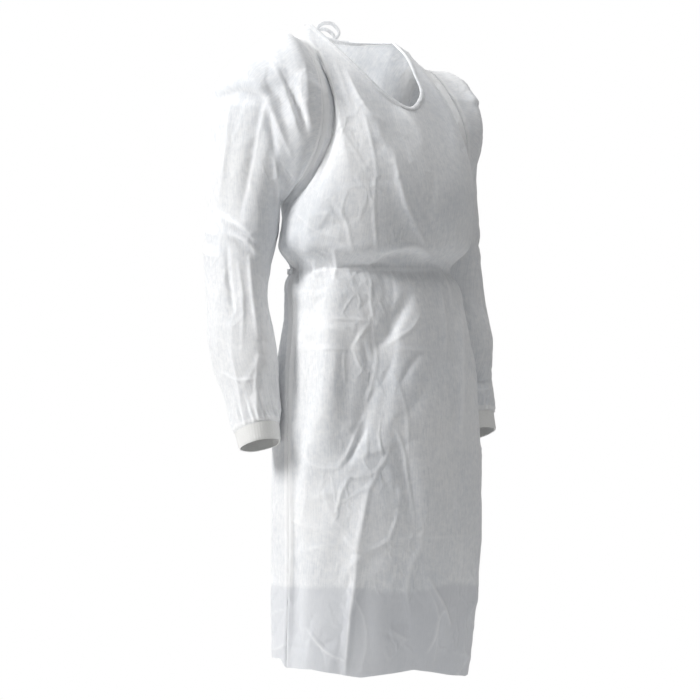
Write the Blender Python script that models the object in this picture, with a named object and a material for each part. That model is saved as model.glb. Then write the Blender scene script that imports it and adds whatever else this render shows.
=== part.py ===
"""A worn isolation gown: front, two lapped backs, set-in sleeves, knitted cuffs, bound neck and ties.

Run it with: blender --background --python part.py
It is modelled in metres, +Z up. The wearer faces -Y, and the wearer's right is -X. The origin is midway between the
two neck points, where the gown hangs from the shoulders. The tables below are in millimetres and degrees.
"""

import math
from collections import namedtuple

import bpy
import numpy as np

MM = 0.001

# ---- Driving sizes -------------------------------------------------------------------------------------------------

WALL = 1.6  # the cloth, as thick as its creased surface makes it
GAP = 0.3  # between two pieces at a seam
CUFF_WALL = 2.2  # knitted cuff
BINDING_WIDTH = 8.0  # neck binding, from its fold to its sewn edge
BINDING_WALL = 1.0
BINDING_CLEAR = 0.7  # between the binding and the cloth that it is folded over
WAIST_TIE_WIDTH = 9.0
TIE_WALL = 1.4

CHEST_Z = -330.0  # the level ring below the armholes
WAIST_Z = -417.0  # where the ties draw the gown in
LAST_LEVEL_Z = -1062.0  # the last level row, above the hem
MITRE_LIMIT = 0.78  # two walls share a mitre where both normals come this near to their mean, as a cosine
SPLIT_ORDER = (0.21, 0.37, 1.0)  # ranks the points of a seam along this way
LAP_LIFT = 8.0  # how far the left back stands off the right back

ARMHOLE_STEPS = 9  # columns of a panel along one side of the armhole
SHOULDER_STEPS = 2
NECK_STEPS = 16  # columns along the front neck
NAPE_STEPS = 7  # columns along one back's neck edge
YOKE_ROWS = 10  # rows from the panel's top edge to the chest ring
YOKE_FIRST = 9.2  # how far the first row lies below the edge: just clear of the binding
BODICE_ROWS = 4  # from the chest ring to the waist
SKIRT_ROWS = 20  # from the waist to the hem
SLEEVE_ROWS = 20

# Where the columns from the top edge's corners reach the chest ring, as a share of the way across the panel.
ARMHOLE_SHARE = 0.50
NECK_SHARE = 0.39
BACK_ARMHOLE_SHARE = 0.42
NAPE_SHARE = 0.54

# ---- Edges: a row for each point that the edge runs through --------------------------------------------------------
# lead is the angle from straight down at which the cloth leaves the edge, forward on the front and back on the backs,
# and aside is how much of its way goes sideways there.

Spot = namedtuple("Spot", "name x y z lead aside")

NECK_FRONT = [
    Spot("right neck point", -98, 6, 22, 51, -0.60),
    Spot("right side", -88, -50, -18, 40, -0.50),
    Spot("right front", -66, -105, -68, 30, -0.44),
    Spot("right bottom", -32, -137, -112, 20, -0.25),
    Spot("bottom", 4, -149, -131, 20, 0.00),
    Spot("left bottom", 38, -134, -108, 20, 0.25),
    Spot("left front", 58, -88, -63, 30, 0.44),
    Spot("left side", 69, -45, -26, 40, 0.50),
    Spot("left neck point", 76, 1, 1, 41, 0.60),
]
NAPE_RIGHT = [
    Spot("right neck point", -98, 6, 22, 66, -0.50),
    Spot("right nape", -58, 43, 12, 38, -0.25),
    Spot("nape", -4, 58, 5, 20, 0.00),
    Spot("free edge", 16, 56, 4, 20, 0.00),
]
NAPE_LEFT = [
    Spot("left neck point", 76, 1, 1, 67, 0.50),
    Spot("left nape", 46, 49, 4, 46, 0.25),
    Spot("nape", 2, 67, 5, 34, 0.00),
    Spot("free edge", -16, 67, 6, 34, 0.00),
]
# The armholes are the same on both sides but for the lean of the shoulders, so they are given with x outward.
ARMHOLE_FRONT = [
    Spot("shoulder tip", 143, 8, -4, 68, -0.30),
    Spot("upper front", 134, -42, -46, 46, -0.45),
    Spot("front", 143, -104, -114, 26, -0.60),
    Spot("chest", 149, -122, -166, 15, -0.60),
    Spot("lower front", 166, -100, -228, 8, -0.50),
    Spot("low front", 180, -52, -272, 4, -0.20),
    Spot("underarm", 177, -10, -292, 0, 0.00),
]
ARMHOLE_BACK = [
    Spot("shoulder tip", 143, 8, -4, 62, -0.25),
    Spot("upper back", 140, 46, -46, 34, -0.30),
    Spot("shoulder blade", 146, 70, -120, 12, -0.50),
    Spot("lower back", 160, 58, -205, 4, -0.50),
    Spot("low back", 174, 24, -262, 2, -0.20),
    Spot("underarm", 177, -10, -292, 0, 0.00),
]
LEAN = 22.0  # the right shoulder stands this much higher than level, and the left one lower
LEAN_WIDTH = 330.0  # where the lean has died away, from the middle
LEFT_DROP = 15.0  # the cap of the left sleeve falls away this much more steeply
SWAY = 9.0  # the upper arms hang this far towards the right
LEFT_WRIST_RISE = 12.0  # the left sleeve ends this much higher

# ---- Body: a row for each level section ----------------------------------------------------------------------------
# middle is the y of the section's centre; seam is how far the side seams lie behind its widest points.

Section = namedtuple("Section", "name z half_width front back middle seam")

BODY = [
    Section("chest", -330, 183, 144, 134, -57, 19),
    Section("blouse", -376, 183, 138, 126, -46, 15),
    Section("waist", -417, 149, 122, 118, -34, 9),
    Section("below the ties", -434, 161, 128, 122, -38, 7),
    Section("hip", -486, 169, 140, 132, -46, 4),
    Section("seat", -587, 184, 157, 150, -49, 1),
    Section("thigh", -740, 193, 167, 158, -52, -2),
    Section("knee", -880, 194, 168, 158, -52, -3),
    Section("calf", -1040, 190, 156, 146, -42, -3),
    Section("hem", -1140, 186, 145, 136, -32, -3),
]

Hem = namedtuple("Hem", "name share z")

# share runs across a panel: -1 at the right side seam to 1 at the left one on the front, 0 at the seam to 1 at the
# free edge on a back.
HEM_FRONT = [
    Hem("right seam", -1.0, -1107),
    Hem("right", -0.75, -1106),
    Hem("right front", -0.4, -1119),
    Hem("middle", -0.05, -1109),
    Hem("left front", 0.25, -1124),
    Hem("left", 0.5, -1134),
    Hem("left seam", 1.0, -1131),
]
HEM_RIGHT_BACK = [
    Hem("seam corner", 0.0, -1107),
    Hem("side", 0.05, -1092),
    Hem("back", 0.5, -1098),
    Hem("free edge", 1.0, -1106),
]
HEM_LEFT_BACK = [Hem("side", 0.0, -1131), Hem("back", 0.5, -1116), Hem("free edge", 1.0, -1108)]

Lap = namedtuple("Lap", "name z reach")

# How far each back reaches past the centre back.
LAPS = [
    Lap("chest", -330, 42),
    Lap("waist", -417, 62),
    Lap("skirt", -700, 84),
    Lap("hem", -1140, 76),
]

# Upright folds of the skirt and the blouse: angle round the body from its left side (90 is the back, 270 the front),
# half width in degrees, and how far the fold stands out (or in) at three levels.
Pleat = namedtuple("Pleat", "name angle width chest waist hem")

PLEATS = [
    Pleat("right hip lobe", 224, 13, 2, 3, -2),
    Pleat("right hip trough", 252, 8, 0, -3, -2),
    Pleat("middle front", 270, 9, 0, 2, 4),
    Pleat("left of middle", 292, 10, -2, -4, -3),
    Pleat("left front", 318, 10, 0, 3, 5),
    Pleat("left trough", 338, 7, -2, -4, -6),
    Pleat("left side", 356, 9, 2, 2, 5),
    Pleat("left back", 26, 9, -2, -5, -6),
    Pleat("left lap", 50, 8, 3, 4, 7),
    Pleat("centre back", 78, 10, -3, -5, -6),
    Pleat("right lap", 112, 9, 2, 4, 6),
    Pleat("right back", 138, 9, -3, -5, -6),
    Pleat("right side", 162, 8, 2, 3, 4),
    Pleat("right seam", 190, 7, -1, -3, -4),
]

# ---- Sleeves: a row for each ring below the armhole, with x outward ------------------------------------------------
# A ring runs from its inner point to its outer point and is depth deep, front to back, on each side of y.

Ring = namedtuple("Ring", "name x_in z_in x_out z_out y depth nose")

SLEEVE = [
    Ring("cap", 182, -303, 188, -22, -14, 104, 0),
    Ring("shoulder", 185, -313, 220, -49, 2, 98, 0),
    Ring("upper arm", 184, -322, 248, -72, 17, 93, 0),
    Ring("above the bend", 178, -330, 263, -140, 28, 88, 0),
    Ring("arm", 170, -340, 270, -222, 36, 83, 0),
    Ring("lower arm", 165, -356, 276, -308, 41, 79, 0),
    Ring("elbow", 170, -384, 285, -368, 42, 76, 3),
    Ring("below the elbow", 184, -424, 288, -420, 35, 65, 5),
    Ring("forearm", 194, -483, 291, -483, 23, 60, 8),
    Ring("mid forearm", 191, -532, 293, -532, 13, 66, 10),
    Ring("lower forearm", 188, -585, 287, -585, 3, 67, 13),
    Ring("above the wrist", 189, -630, 280, -630, -8, 57, 17),
    Ring("gathers", 193, -670, 277, -670, -20, 49, 21),
    Ring("wrist", 197, -692, 274, -692, -28, 41, 23),
]
CUFF = [
    Ring("cuff seam", 197, -692, 274, -692, -28, 41, 23),
    Ring("cuff middle", 198, -706, 273, -706, -33, 38, 22),
    Ring("cuff edge", 199, -720, 272, -720, -38, 36, 21),
]

# ---- Large folds: a row for each, placed on the side that it is seen from ------------------------------------------
# path holds points (across, up) on the plane that faces the view, width is half the fold's width, and height is how
# far it stands out, or in where it is below 0.

Fold = namedtuple("Fold", "name pieces view path width height")

BODY_FRONT = ("front",)
RIGHT_ARM = ("sleeve_right",)
LEFT_ARM = ("sleeve_left",)
BACKS = ("back_right", "back_left")

FOLDS = [
    Fold("lobe over the hip", BODY_FRONT, -35, [(-72, -470), (-66, -560), (-58, -660), (-52, -735)], 34, 9),
    Fold("trough beside the lobe", BODY_FRONT, -35, [(20, -480), (28, -560), (12, -655), (-16, -735)], 18, -8),
    Fold("blouse over the waist", BODY_FRONT, -35, [(-30, -392), (20, -380), (70, -374), (118, -384)], 16, 6),
    Fold("hollow over the waist", BODY_FRONT, -35, [(30, -402), (75, -396), (105, -402)], 10, -7),
    Fold("right shoulder to chest", BODY_FRONT, -35, [(-20, -76), (4, -128), (22, -152), (38, -162)], 13, 5),
    Fold("under the right shoulder", BODY_FRONT, -35, [(-36, -100), (-16, -165), (10, -230)], 18, -5),
    Fold("neck to left chest", BODY_FRONT, -35, [(72, -142), (104, -180), (112, -208)], 12, 4),
    Fold("left chest", BODY_FRONT, -35, [(60, -212), (72, -268), (86, -318), (112, -376)], 14, 5),
    Fold("left shoulder", BODY_FRONT, -35, [(112, -60), (136, -104), (158, -150), (176, -216)], 12, 5),
    Fold("left armpit", BODY_FRONT, -35, [(132, -236), (133, -316)], 14, -5),
    Fold("left skirt edge", BODY_FRONT, -35, [(178, -490), (180, -600), (181, -735)], 11, 5),
    Fold("waist to left thigh", BODY_FRONT, -35, [(84, -468), (58, -508), (34, -548)], 16, -6),
    Fold("left hip", BODY_FRONT, -35, [(138, -430), (144, -490), (150, -565)], 12, 5),
    Fold("knee to hem", BODY_FRONT, -35, [(10, -800), (-2, -905), (-12, -1000), (-22, -1090)], 16, 5),
    Fold("left of the knee", BODY_FRONT, -35, [(64, -690), (82, -780), (94, -860)], 16, -5),
    Fold("lower left", BODY_FRONT, -35, [(124, -950), (136, -1000), (156, -1060)], 16, 5),
    Fold("right thigh", BODY_FRONT, -35, [(-118, -760), (-116, -900), (-112, -1040)], 14, -5),
    Fold("shoulder fan, front", RIGHT_ARM, -35, [(-150, -40), (-130, -84), (-106, -160)], 9, 5),
    Fold("shoulder fan, hollow", RIGHT_ARM, -35, [(-132, -72), (-112, -120), (-90, -180)], 10, -8),
    Fold("shoulder fan, middle", RIGHT_ARM, -35, [(-158, -95), (-136, -150), (-118, -208)], 10, -7),
    Fold("shoulder fan, ridge", RIGHT_ARM, -35, [(-155, -124), (-136, -165), (-116, -206)], 8, 5),
    Fold("crosswise fold", RIGHT_ARM, -35, [(-245, -112), (-205, -104), (-160, -122)], 9, -6),
    Fold("along the upper arm", RIGHT_ARM, -35, [(-226, -130), (-236, -210), (-248, -290)], 12, 4),
    Fold("behind the armpit", RIGHT_ARM, -35, [(-164, -140), (-180, -215), (-200, -310)], 14, -6),
    Fold("elbow, upper", RIGHT_ARM, -35, [(-240, -322), (-204, -345), (-180, -362)], 10, 5),
    Fold("elbow, lower", RIGHT_ARM, -35, [(-228, -360), (-196, -382), (-180, -402)], 9, -5),
    Fold("along the forearm", RIGHT_ARM, -35, [(-226, -392), (-220, -450), (-214, -500)], 9, -5),
    Fold("inside of the forearm", RIGHT_ARM, -35, [(-188, -400), (-182, -460), (-174, -545)], 9, 4),
    Fold("above the cuff", RIGHT_ARM, -35, [(-150, -590), (-148, -640), (-156, -672)], 13, -6),
    Fold("left arm wrinkle", LEFT_ARM, -35, [(200, -600), (240, -622)], 9, -5),
    Fold("left upper arm", LEFT_ARM, 20, [(244, -120), (250, -200), (256, -300)], 12, 4),
    Fold("left elbow", LEFT_ARM, 20, [(200, -330), (236, -360), (270, -372)], 11, -6),
    Fold("left forearm", LEFT_ARM, 20, [(236, -440), (240, -520), (238, -600)], 11, -5),
    Fold("back of the right elbow", RIGHT_ARM, 180, [(200, -330), (236, -366), (270, -380)], 12, -6),
    Fold("back of the right arm", RIGHT_ARM, 180, [(220, -110), (232, -200), (236, -290)], 12, 5),
    Fold("back of the right forearm", RIGHT_ARM, 180, [(236, -430), (240, -520), (236, -620)], 12, 5),
    Fold("back of the left elbow", LEFT_ARM, 180, [(-206, -342), (-240, -360), (-276, -366)], 12, -6),
    Fold("back of the left arm", LEFT_ARM, 180, [(-216, -120), (-228, -190), (-240, -280)], 12, 5),
    Fold("back of the left forearm", LEFT_ARM, 180, [(-240, -440), (-236, -530), (-240, -610)], 12, 5),
    Fold("nape to right blade", BACKS, 180, [(30, -40), (58, -110), (70, -190)], 16, 4),
    Fold("nape to left blade", BACKS, 180, [(-34, -50), (-60, -120), (-76, -210)], 16, 4),
    Fold("right blade to waist", BACKS, 180, [(96, -250), (70, -320), (52, -380)], 16, -5),
    Fold("left blade to waist", BACKS, 180, [(-98, -260), (-76, -330), (-50, -384)], 16, 5),
]

# ---- Ties ----------------------------------------------------------------------------------------------------------
# Each strip is a path of points and the way that its flat side faces at each end.

Strip = namedtuple("Strip", "name path face_start face_end width")

NECK_KNOT = (0, 77, 2)
NECK_KNOT_SIZE = (11, 8, 11)
NECK_STRIPS = [
    Strip("neck_loop_1", [(2, 77, 8), (12, 80, 22), (2, 84, 36), (-14, 86, 38), (-30, 84, 30), (-36, 81, 14),
                          (-24, 78, 4), (-7, 77, 3)], (0, 1, 0.2), (0, 1, 0.2), 7),
    Strip("neck_loop_2", [(5, 81, 6), (4, 90, 20), (-6, 94, 27), (-18, 93, 27), (-28, 90, 20), (-30, 87, 8),
                          (-18, 84, -3), (-5, 81, -3)], (0, 1, 0.4), (0, 1, 0.4), 7),
    Strip("neck_end_1", [(4, 79, -4), (10, 86, -18), (15, 95, -44), (16, 103, -78), (20, 108, -116), (25, 110, -148)],
          (0.2, 1, 0.3), (0.1, 1, 0), 7),
    Strip("neck_end_2", [(-4, 79, -4), (-11, 86, -18), (-16, 95, -42), (-22, 104, -74), (-24, 108, -106),
                         (-29, 110, -134)], (-0.2, 1, 0.3), (-0.1, 1, 0), 7),
]
WAIST_KNOT_SIZE = (20, 12, 19)
WAIST_KNOT_STAND = 9.0  # the knot's centre, off the back
WAIST_TIE_STAND = 4.0  # the ties' inner face, off the cloth
WAIST_TIE_STEPS = 14
WAIST_KNOT_TURN = 4.6  # the ties end this many degrees from the knot's middle
# Points are (x, distance off the waist's outermost back, z below the waist).
WAIST_STRIPS = [
    Strip("waist_loop_1", [(-11, 13, 2), (-30, 17, 10), (-54, 21, 2), (-66, 23, -20), (-56, 23, -42), (-38, 20, -46),
                           (-22, 17, -30), (-11, 14, -10)], (0, 1, 0.2), (0, 1, 0.2), 14),
    Strip("waist_loop_2", [(11, 13, 2), (28, 17, 12), (52, 22, 6), (68, 25, -14), (62, 26, -38), (44, 22, -48),
                           (24, 18, -30), (11, 14, -10)], (0, 1, 0.2), (0, 1, 0.2), 14),
    Strip("waist_end_1", [(-9, 17, -10), (-16, 24, -44), (-22, 31, -100), (-30, 37, -170), (-33, 43, -232)],
          (0, 1, 0.3), (-0.15, 1, 0), 14),
    Strip("waist_end_2", [(9, 17, -10), (17, 24, -44), (20, 32, -96), (28, 39, -160), (26, 45, -208)],
          (0, 1, 0.3), (0.15, 1, 0), 14),
]
STRIP_STEPS = 16

# ---- Colours -------------------------------------------------------------------------------------------------------

CLOTH_WHITE = (0.86, 0.87, 0.88)
CUFF_WHITE = (0.90, 0.90, 0.89)
TRIM_WHITE = (0.88, 0.88, 0.88)


# ---- Curves --------------------------------------------------------------------------------------------------------


def through(knots, values, where):
    """The values at `where` on a smooth curve that passes through `values` at the rising `knots`."""
    knots = np.asarray(knots, float)
    values = np.asarray(values, float)
    where = np.asarray(where, float)
    slope = np.gradient(values, knots, axis=0)
    low = np.clip(np.searchsorted(knots, where, side="right") - 1, 0, len(knots) - 2)
    width = knots[low + 1] - knots[low]
    t = np.clip((where - knots[low]) / width, 0.0, 1.0)
    if values.ndim > 1:
        width = width[..., None]
        t = t[..., None]
    start = (2 * t**3 - 3 * t**2 + 1) * values[low] + (t**3 - 2 * t**2 + t) * width * slope[low]
    end = (3 * t**2 - 2 * t**3) * values[low + 1] + (t**3 - t**2) * width * slope[low + 1]
    return start + end


def lengths(points):
    """The distance run at each point of a path, from its first three columns."""
    steps = np.linalg.norm(np.diff(points[:, :3], axis=0), axis=1)
    return np.concatenate([[0.0], np.cumsum(steps)])


def smooth_path(points, steps):
    """A smooth curve through the points, cut into equal steps along its length."""
    points = np.asarray(points, float)
    run = lengths(points)
    fine = through(run, points, np.linspace(0.0, run[-1], 400))
    fine_run = lengths(fine)
    even = np.linspace(0.0, fine_run[-1], steps + 1)
    return np.column_stack([np.interp(even, fine_run, fine[:, k]) for k in range(fine.shape[1])])


def ease(value, low, high):
    """0 up to low, 1 from high, and smooth between."""
    t = np.clip((np.asarray(value, float) - low) / (high - low), 0.0, 1.0)
    return t * t * (3 - 2 * t)


def edge(spots, steps, side=0):
    """The edge through the spots. Where side is -1 or 1, x is outward on that side and the shoulders lean."""
    points = np.array([[s.x, s.y, s.z, s.lead, s.aside] for s in spots], float)
    if side:
        points[:, 0] *= side
        points[:, 4] *= side
        points[:, :3] = lean(points[:, :3])
    return smooth_path(points, steps)


def lean(points):
    """Points of the shoulders and arms, as they really hang: one shoulder up, the other down, and both swayed."""
    points = np.array(points, float)
    height = points[..., 2].copy()
    share = np.sin(np.clip(points[..., 0] / LEAN_WIDTH, -1.0, 1.0) * math.pi)
    points[..., 2] -= LEAN * share * ease(height, -230.0, -60.0)
    points[..., 2] -= LEFT_DROP * ease(points[..., 0], 145.0, 225.0) * ease(height, -210.0, -90.0)
    points[..., 2] += LEFT_WRIST_RISE * ease(-height, 430.0, 680.0) * (points[..., 0] > 0)
    outer = ease(np.abs(points[..., 0]), 185.0, 240.0)
    points[..., 0] -= SWAY * outer * ease(-height, 30.0, 100.0) * ease(height, -330.0, -230.0)
    return points


# ---- Body panels ---------------------------------------------------------------------------------------------------


def section(z):
    """The body's section at each height: half width, front, back, middle and seam angle."""
    table = np.array([[s.half_width, s.front, s.back, s.middle, s.seam] for s in BODY], float)
    down = np.array([-s.z for s in BODY], float)
    return through(down, table, -np.asarray(z, float))


def pleated(angle, z):
    """How far the upright folds carry the cloth out, at an angle in degrees and a height."""
    out = np.zeros(np.broadcast(angle, z).shape)
    for pleat in PLEATS:
        turn = (angle - pleat.angle + 180.0) % 360.0 - 180.0
        levels = through([-WAIST_Z - 90, -WAIST_Z, -WAIST_Z + 160, 1140],
                         [pleat.chest, pleat.waist, 0.6 * pleat.hem, pleat.hem], -z)
        out += levels * np.exp(-((turn / pleat.width) ** 2)) * ease(-z, -CHEST_Z, -CHEST_Z + 60)
    return out


def body_point(angle, z):
    """The point of the body's outer face at an angle round it, in degrees, and a height."""
    size = section(z)
    turn = np.radians(angle)
    depth = np.where(np.sin(turn) > 0, size[..., 2], size[..., 1])
    out = 1 + pleated(angle, z) / size[..., 0]
    x = size[..., 0] * out * np.cos(turn)
    y = size[..., 3] + depth * out * np.sin(turn)
    return np.stack([x, y, np.broadcast_to(z, x.shape)], axis=-1)


def heights(hem):
    """The heights of the level rows, closest together at the waist, and of each column's hem below them."""
    bodice = CHEST_Z + (WAIST_Z - CHEST_Z) * np.linspace(0, 1, BODICE_ROWS + 1) ** 0.8
    skirt = WAIST_Z + (LAST_LEVEL_Z - WAIST_Z) * np.linspace(0, 1, SKIRT_ROWS)[1:] ** 1.15
    level = np.concatenate([bodice, skirt])
    return np.vstack([np.repeat(level[:, None], len(hem), axis=1), hem[None, :]])


def panel(top, share, angle_of, hem, way, lift=None):
    """A body panel: a grid of points from its top edge, over the yoke, to its hem.

    share runs across the panel, angle_of gives the angle round the body for a share and a height, way is -1 for the
    front and 1 for a back, and lift is how far each column stands off the body.
    """
    rows = heights(np.interp(share, [h.share for h in hem], [h.z for h in hem]))
    angle = angle_of(share[None, :], rows)
    lower = body_point(angle, rows)
    if lift is not None:
        lower = lower + lift(angle)[..., None] * outward(angle)
    start, end = top[:, :3], lower[0]
    leading = np.radians(top[:, 3])
    reach = np.linalg.norm(end - start, axis=1)[:, None]
    rest = np.sqrt(1 - top[:, 4] ** 2)
    leave = np.column_stack([top[:, 4], way * rest * np.sin(leading), -rest * np.cos(leading)])
    arrive = lower[1] - lower[0]
    arrive /= np.linalg.norm(arrive, axis=1)[:, None]
    along = np.gradient(start, axis=0)
    square = np.linalg.norm(np.cross(leave, along), axis=1) / np.linalg.norm(along, axis=1)
    power = np.log(YOKE_FIRST / (square * reach[:, 0])) / math.log(1 / YOKE_ROWS)
    t = (np.linspace(0, 1, YOKE_ROWS + 1)[:-1, None] ** np.clip(power, 1, 2))[..., None]
    yoke = ((2 * t**3 - 3 * t**2 + 1) * start + (t**3 - 2 * t**2 + t) * reach * leave
            + (3 * t**2 - 2 * t**3) * end + (t**3 - t**2) * reach * arrive)
    return np.concatenate([yoke, lower])


def outward(angle):
    """The level direction away from the body at an angle round it."""
    turn = np.radians(angle)
    return np.stack([np.cos(turn), np.sin(turn), np.zeros_like(turn)], axis=-1)


def seam_angle(z):
    return section(z)[..., 4]


def lap_angle(z):
    """How far past the centre back a back reaches at a height, in degrees."""
    reach = through([-lap.z for lap in LAPS], [lap.reach for lap in LAPS], -z)
    return np.degrees(np.arcsin(reach / section(z)[..., 0]))


def front_angle(share, z):
    return 270.0 + share * (90.0 + seam_angle(z))


def right_back_angle(share, z):
    seam = 180.0 - seam_angle(z)
    return seam + share * (90.0 - lap_angle(z) - seam)


def left_back_angle(share, z):
    seam = seam_angle(z)
    return seam + share * (90.0 + lap_angle(z) - seam)


def lap_lift(angle):
    return LAP_LIFT * ease(angle, 32.0, 70.0)


def front_panel():
    arm_right = edge(ARMHOLE_FRONT, ARMHOLE_STEPS, -1)
    arm_left = edge(ARMHOLE_FRONT, ARMHOLE_STEPS, 1)
    neck = edge(NECK_FRONT, NECK_STEPS)
    top = np.vstack([arm_right[::-1], shoulder(arm_right[0], neck[0])[1:-1], neck,
                     shoulder(neck[-1], arm_left[0])[1:-1], arm_left])
    share = spread([-1, -ARMHOLE_SHARE, -NECK_SHARE, NECK_SHARE, ARMHOLE_SHARE, 1],
                   [ARMHOLE_STEPS, SHOULDER_STEPS, NECK_STEPS, SHOULDER_STEPS, ARMHOLE_STEPS])
    return panel(top, share, front_angle, HEM_FRONT, -1)


def back_panel(side):
    """The back on one side: -1 is the right one, which lies under, and 1 the left one, which laps over it."""
    arm = edge(ARMHOLE_BACK, ARMHOLE_STEPS, side)
    nape = edge(NAPE_RIGHT if side < 0 else NAPE_LEFT, NAPE_STEPS)
    top = np.vstack([arm[::-1], shoulder(arm[0], nape[0])[1:-1], nape])
    share = spread([0, BACK_ARMHOLE_SHARE, NAPE_SHARE, 1], [ARMHOLE_STEPS, SHOULDER_STEPS, NAPE_STEPS])
    if side < 0:
        return panel(top, share, right_back_angle, HEM_RIGHT_BACK, 1)
    return panel(top, share, left_back_angle, HEM_LEFT_BACK, 1, lap_lift)


def spread(stops, steps):
    """Shares across a panel, in even steps between the stops."""
    runs = [np.linspace(low, high, count + 1)[1:] for low, high, count in zip(stops[:-1], stops[1:], steps)]
    return np.concatenate([[stops[0]], *runs])


def shoulder(start, end):
    """The shoulder seam, straight between the tip and the neck point."""
    return start + (end - start) * np.linspace(0, 1, SHOULDER_STEPS + 1)[:, None]


# ---- Sleeves -------------------------------------------------------------------------------------------------------


def ring_points(ring, side):
    """A sleeve ring's points: from the inner point over the front to the outer point, and back behind."""
    front = np.linspace(0, math.pi, ARMHOLE_STEPS + 1)[:-1]
    back = np.linspace(math.pi, 2 * math.pi, ARMHOLE_STEPS + 1)[:-1]
    turn = np.concatenate([front, back])
    along = (1 - np.cos(turn)) / 2
    x = ring.x_in + (ring.x_out - ring.x_in) * along
    z = ring.z_in + (ring.z_out - ring.z_in) * along
    drop = math.radians(ring.nose)
    y = ring.y - ring.depth * np.sin(turn) * math.cos(drop)
    z = z + ring.depth * np.sin(turn) * math.sin(drop)
    return lean(np.column_stack([side * x, y, z]))


def tube(rings, rows, side, first=None):
    """A grid of points through the rings, from the top down. first is a ready ring that comes before them."""
    loops = [ring_points(ring, side) for ring in rings]
    if first is not None:
        loops.insert(0, first)
    loops = np.array(loops)
    middles = loops.mean(axis=1)
    run = lengths(middles)
    run /= run[-1]
    return through(run, loops.reshape(len(loops), -1), np.linspace(0, 1, rows + 1)).reshape(rows + 1, -1, 3)


def armhole_loop(side):
    front = edge(ARMHOLE_FRONT, ARMHOLE_STEPS, side)[::-1, :3]
    back = edge(ARMHOLE_BACK, ARMHOLE_STEPS, side)[:, :3]
    return np.vstack([front[:-1], back[:-1]])


# ---- Folds ---------------------------------------------------------------------------------------------------------


def grid_normals(grid, closed):
    """Outward unit normals of a grid of points, whose columns may close into a tube."""
    down = np.gradient(grid, axis=0)
    if closed:
        across = (np.roll(grid, -1, axis=1) - np.roll(grid, 1, axis=1)) / 2
    else:
        across = np.gradient(grid, axis=1)
    normal = np.cross(down, across)
    return normal / np.maximum(np.linalg.norm(normal, axis=-1), 1e-9)[..., None]


def to_path(across, up, path):
    """Each point's distance to a path on the plane, and how far along it the nearest point lies, 0 to 1."""
    path = np.asarray(path, float)
    run = lengths(np.column_stack([path, np.zeros(len(path))]))
    best = np.full(across.shape, 1e9)
    along = np.zeros(across.shape)
    for (start, end), run_start in zip(zip(path[:-1], path[1:]), run[:-1]):
        step = end - start
        length = math.hypot(*step)
        t = np.clip(((across - start[0]) * step[0] + (up - start[1]) * step[1]) / length**2, 0, 1)
        distance = np.hypot(across - start[0] - t * step[0], up - start[1] - t * step[1])
        nearer = distance < best
        best = np.where(nearer, distance, best)
        along = np.where(nearer, (run_start + t * length) / run[-1], along)
    return best, along


def folded(name, grid, normal, keep):
    """The grid with the piece's folds raised along its normals; keep is 0 on a seam, where the cloth stays put."""
    out = np.zeros(grid.shape[:2])
    for fold in FOLDS:
        if name not in fold.pieces:
            continue
        turn = math.radians(fold.view)
        across = grid[..., 0] * math.cos(turn) + grid[..., 1] * math.sin(turn)
        facing = normal[..., 0] * math.sin(turn) - normal[..., 1] * math.cos(turn)
        distance, along = to_path(across, grid[..., 2], fold.path)
        taper = np.sin(math.pi * np.clip(0.12 + 0.76 * along, 0, 1)) ** 0.6
        out += fold.height * taper * np.exp(-((distance / fold.width) ** 2)) * ease(facing, 0.0, 0.4)
    return grid + (out * keep)[..., None] * normal


def held_still(shape, closed, free_column):
    """0 on the seams, where the folds leave the cloth alone, and 1 elsewhere; free_column is a back's free edge."""
    keep = np.ones(shape)
    keep[0] = 0
    if closed:
        keep[-1] = 0
        return keep
    for column in (0, -1):
        if column != free_column:
            keep[:, column] = 0
    return keep


# ---- Meshes --------------------------------------------------------------------------------------------------------


class Cloth:
    """One piece of cloth as a grid of points on its outer face, with a normal at each."""

    def __init__(self, name, grid, closed=False, wall=WALL, free_column=None):
        self.name = name
        self.grid = grid
        self.closed = closed
        self.wall = wall
        self.free_column = free_column
        self.normal = grid_normals(grid, closed)

    def fold(self):
        keep = held_still(self.grid.shape[:2], self.closed, self.free_column)
        self.grid = folded(self.name, self.grid, self.normal, keep)
        self.normal = grid_normals(self.grid, self.closed)

    def rims(self):
        """The piece's edges as loops of (place, its neighbour inside the piece), where a place is a row and column."""
        rows, columns = self.grid.shape[:2]
        top = [((0, c), (1, c)) for c in range(columns)]
        bottom = [((rows - 1, c), (rows - 2, c)) for c in reversed(range(columns))]
        if self.closed:
            return [top, bottom]
        left = [((r, 0), (r, 1)) for r in reversed(range(1, rows - 1))]
        right = [((r, columns - 1), (r, columns - 2)) for r in range(1, rows - 1)]
        return [top + right + bottom + left]


def share_normals(pieces):
    """Gives the points where two pieces meet one normal, so that the walls meet in a mitre and keep their gap."""
    meeting = {}
    for piece in pieces:
        for place, _ in sum(piece.rims(), []):
            key = tuple(np.round(piece.grid[place], 1))
            meeting.setdefault(key, []).append((piece, place))
    for group in meeting.values():
        total = sum(piece.normal[place] for piece, place in group)
        size = np.linalg.norm(total)
        if len(group) < 2 or size < 1e-6:
            continue
        mean = total / size
        if all(float(piece.normal[place] @ mean) > MITRE_LIMIT for piece, place in group):
            for piece, place in group:
                piece.normal[place] = mean


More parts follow.
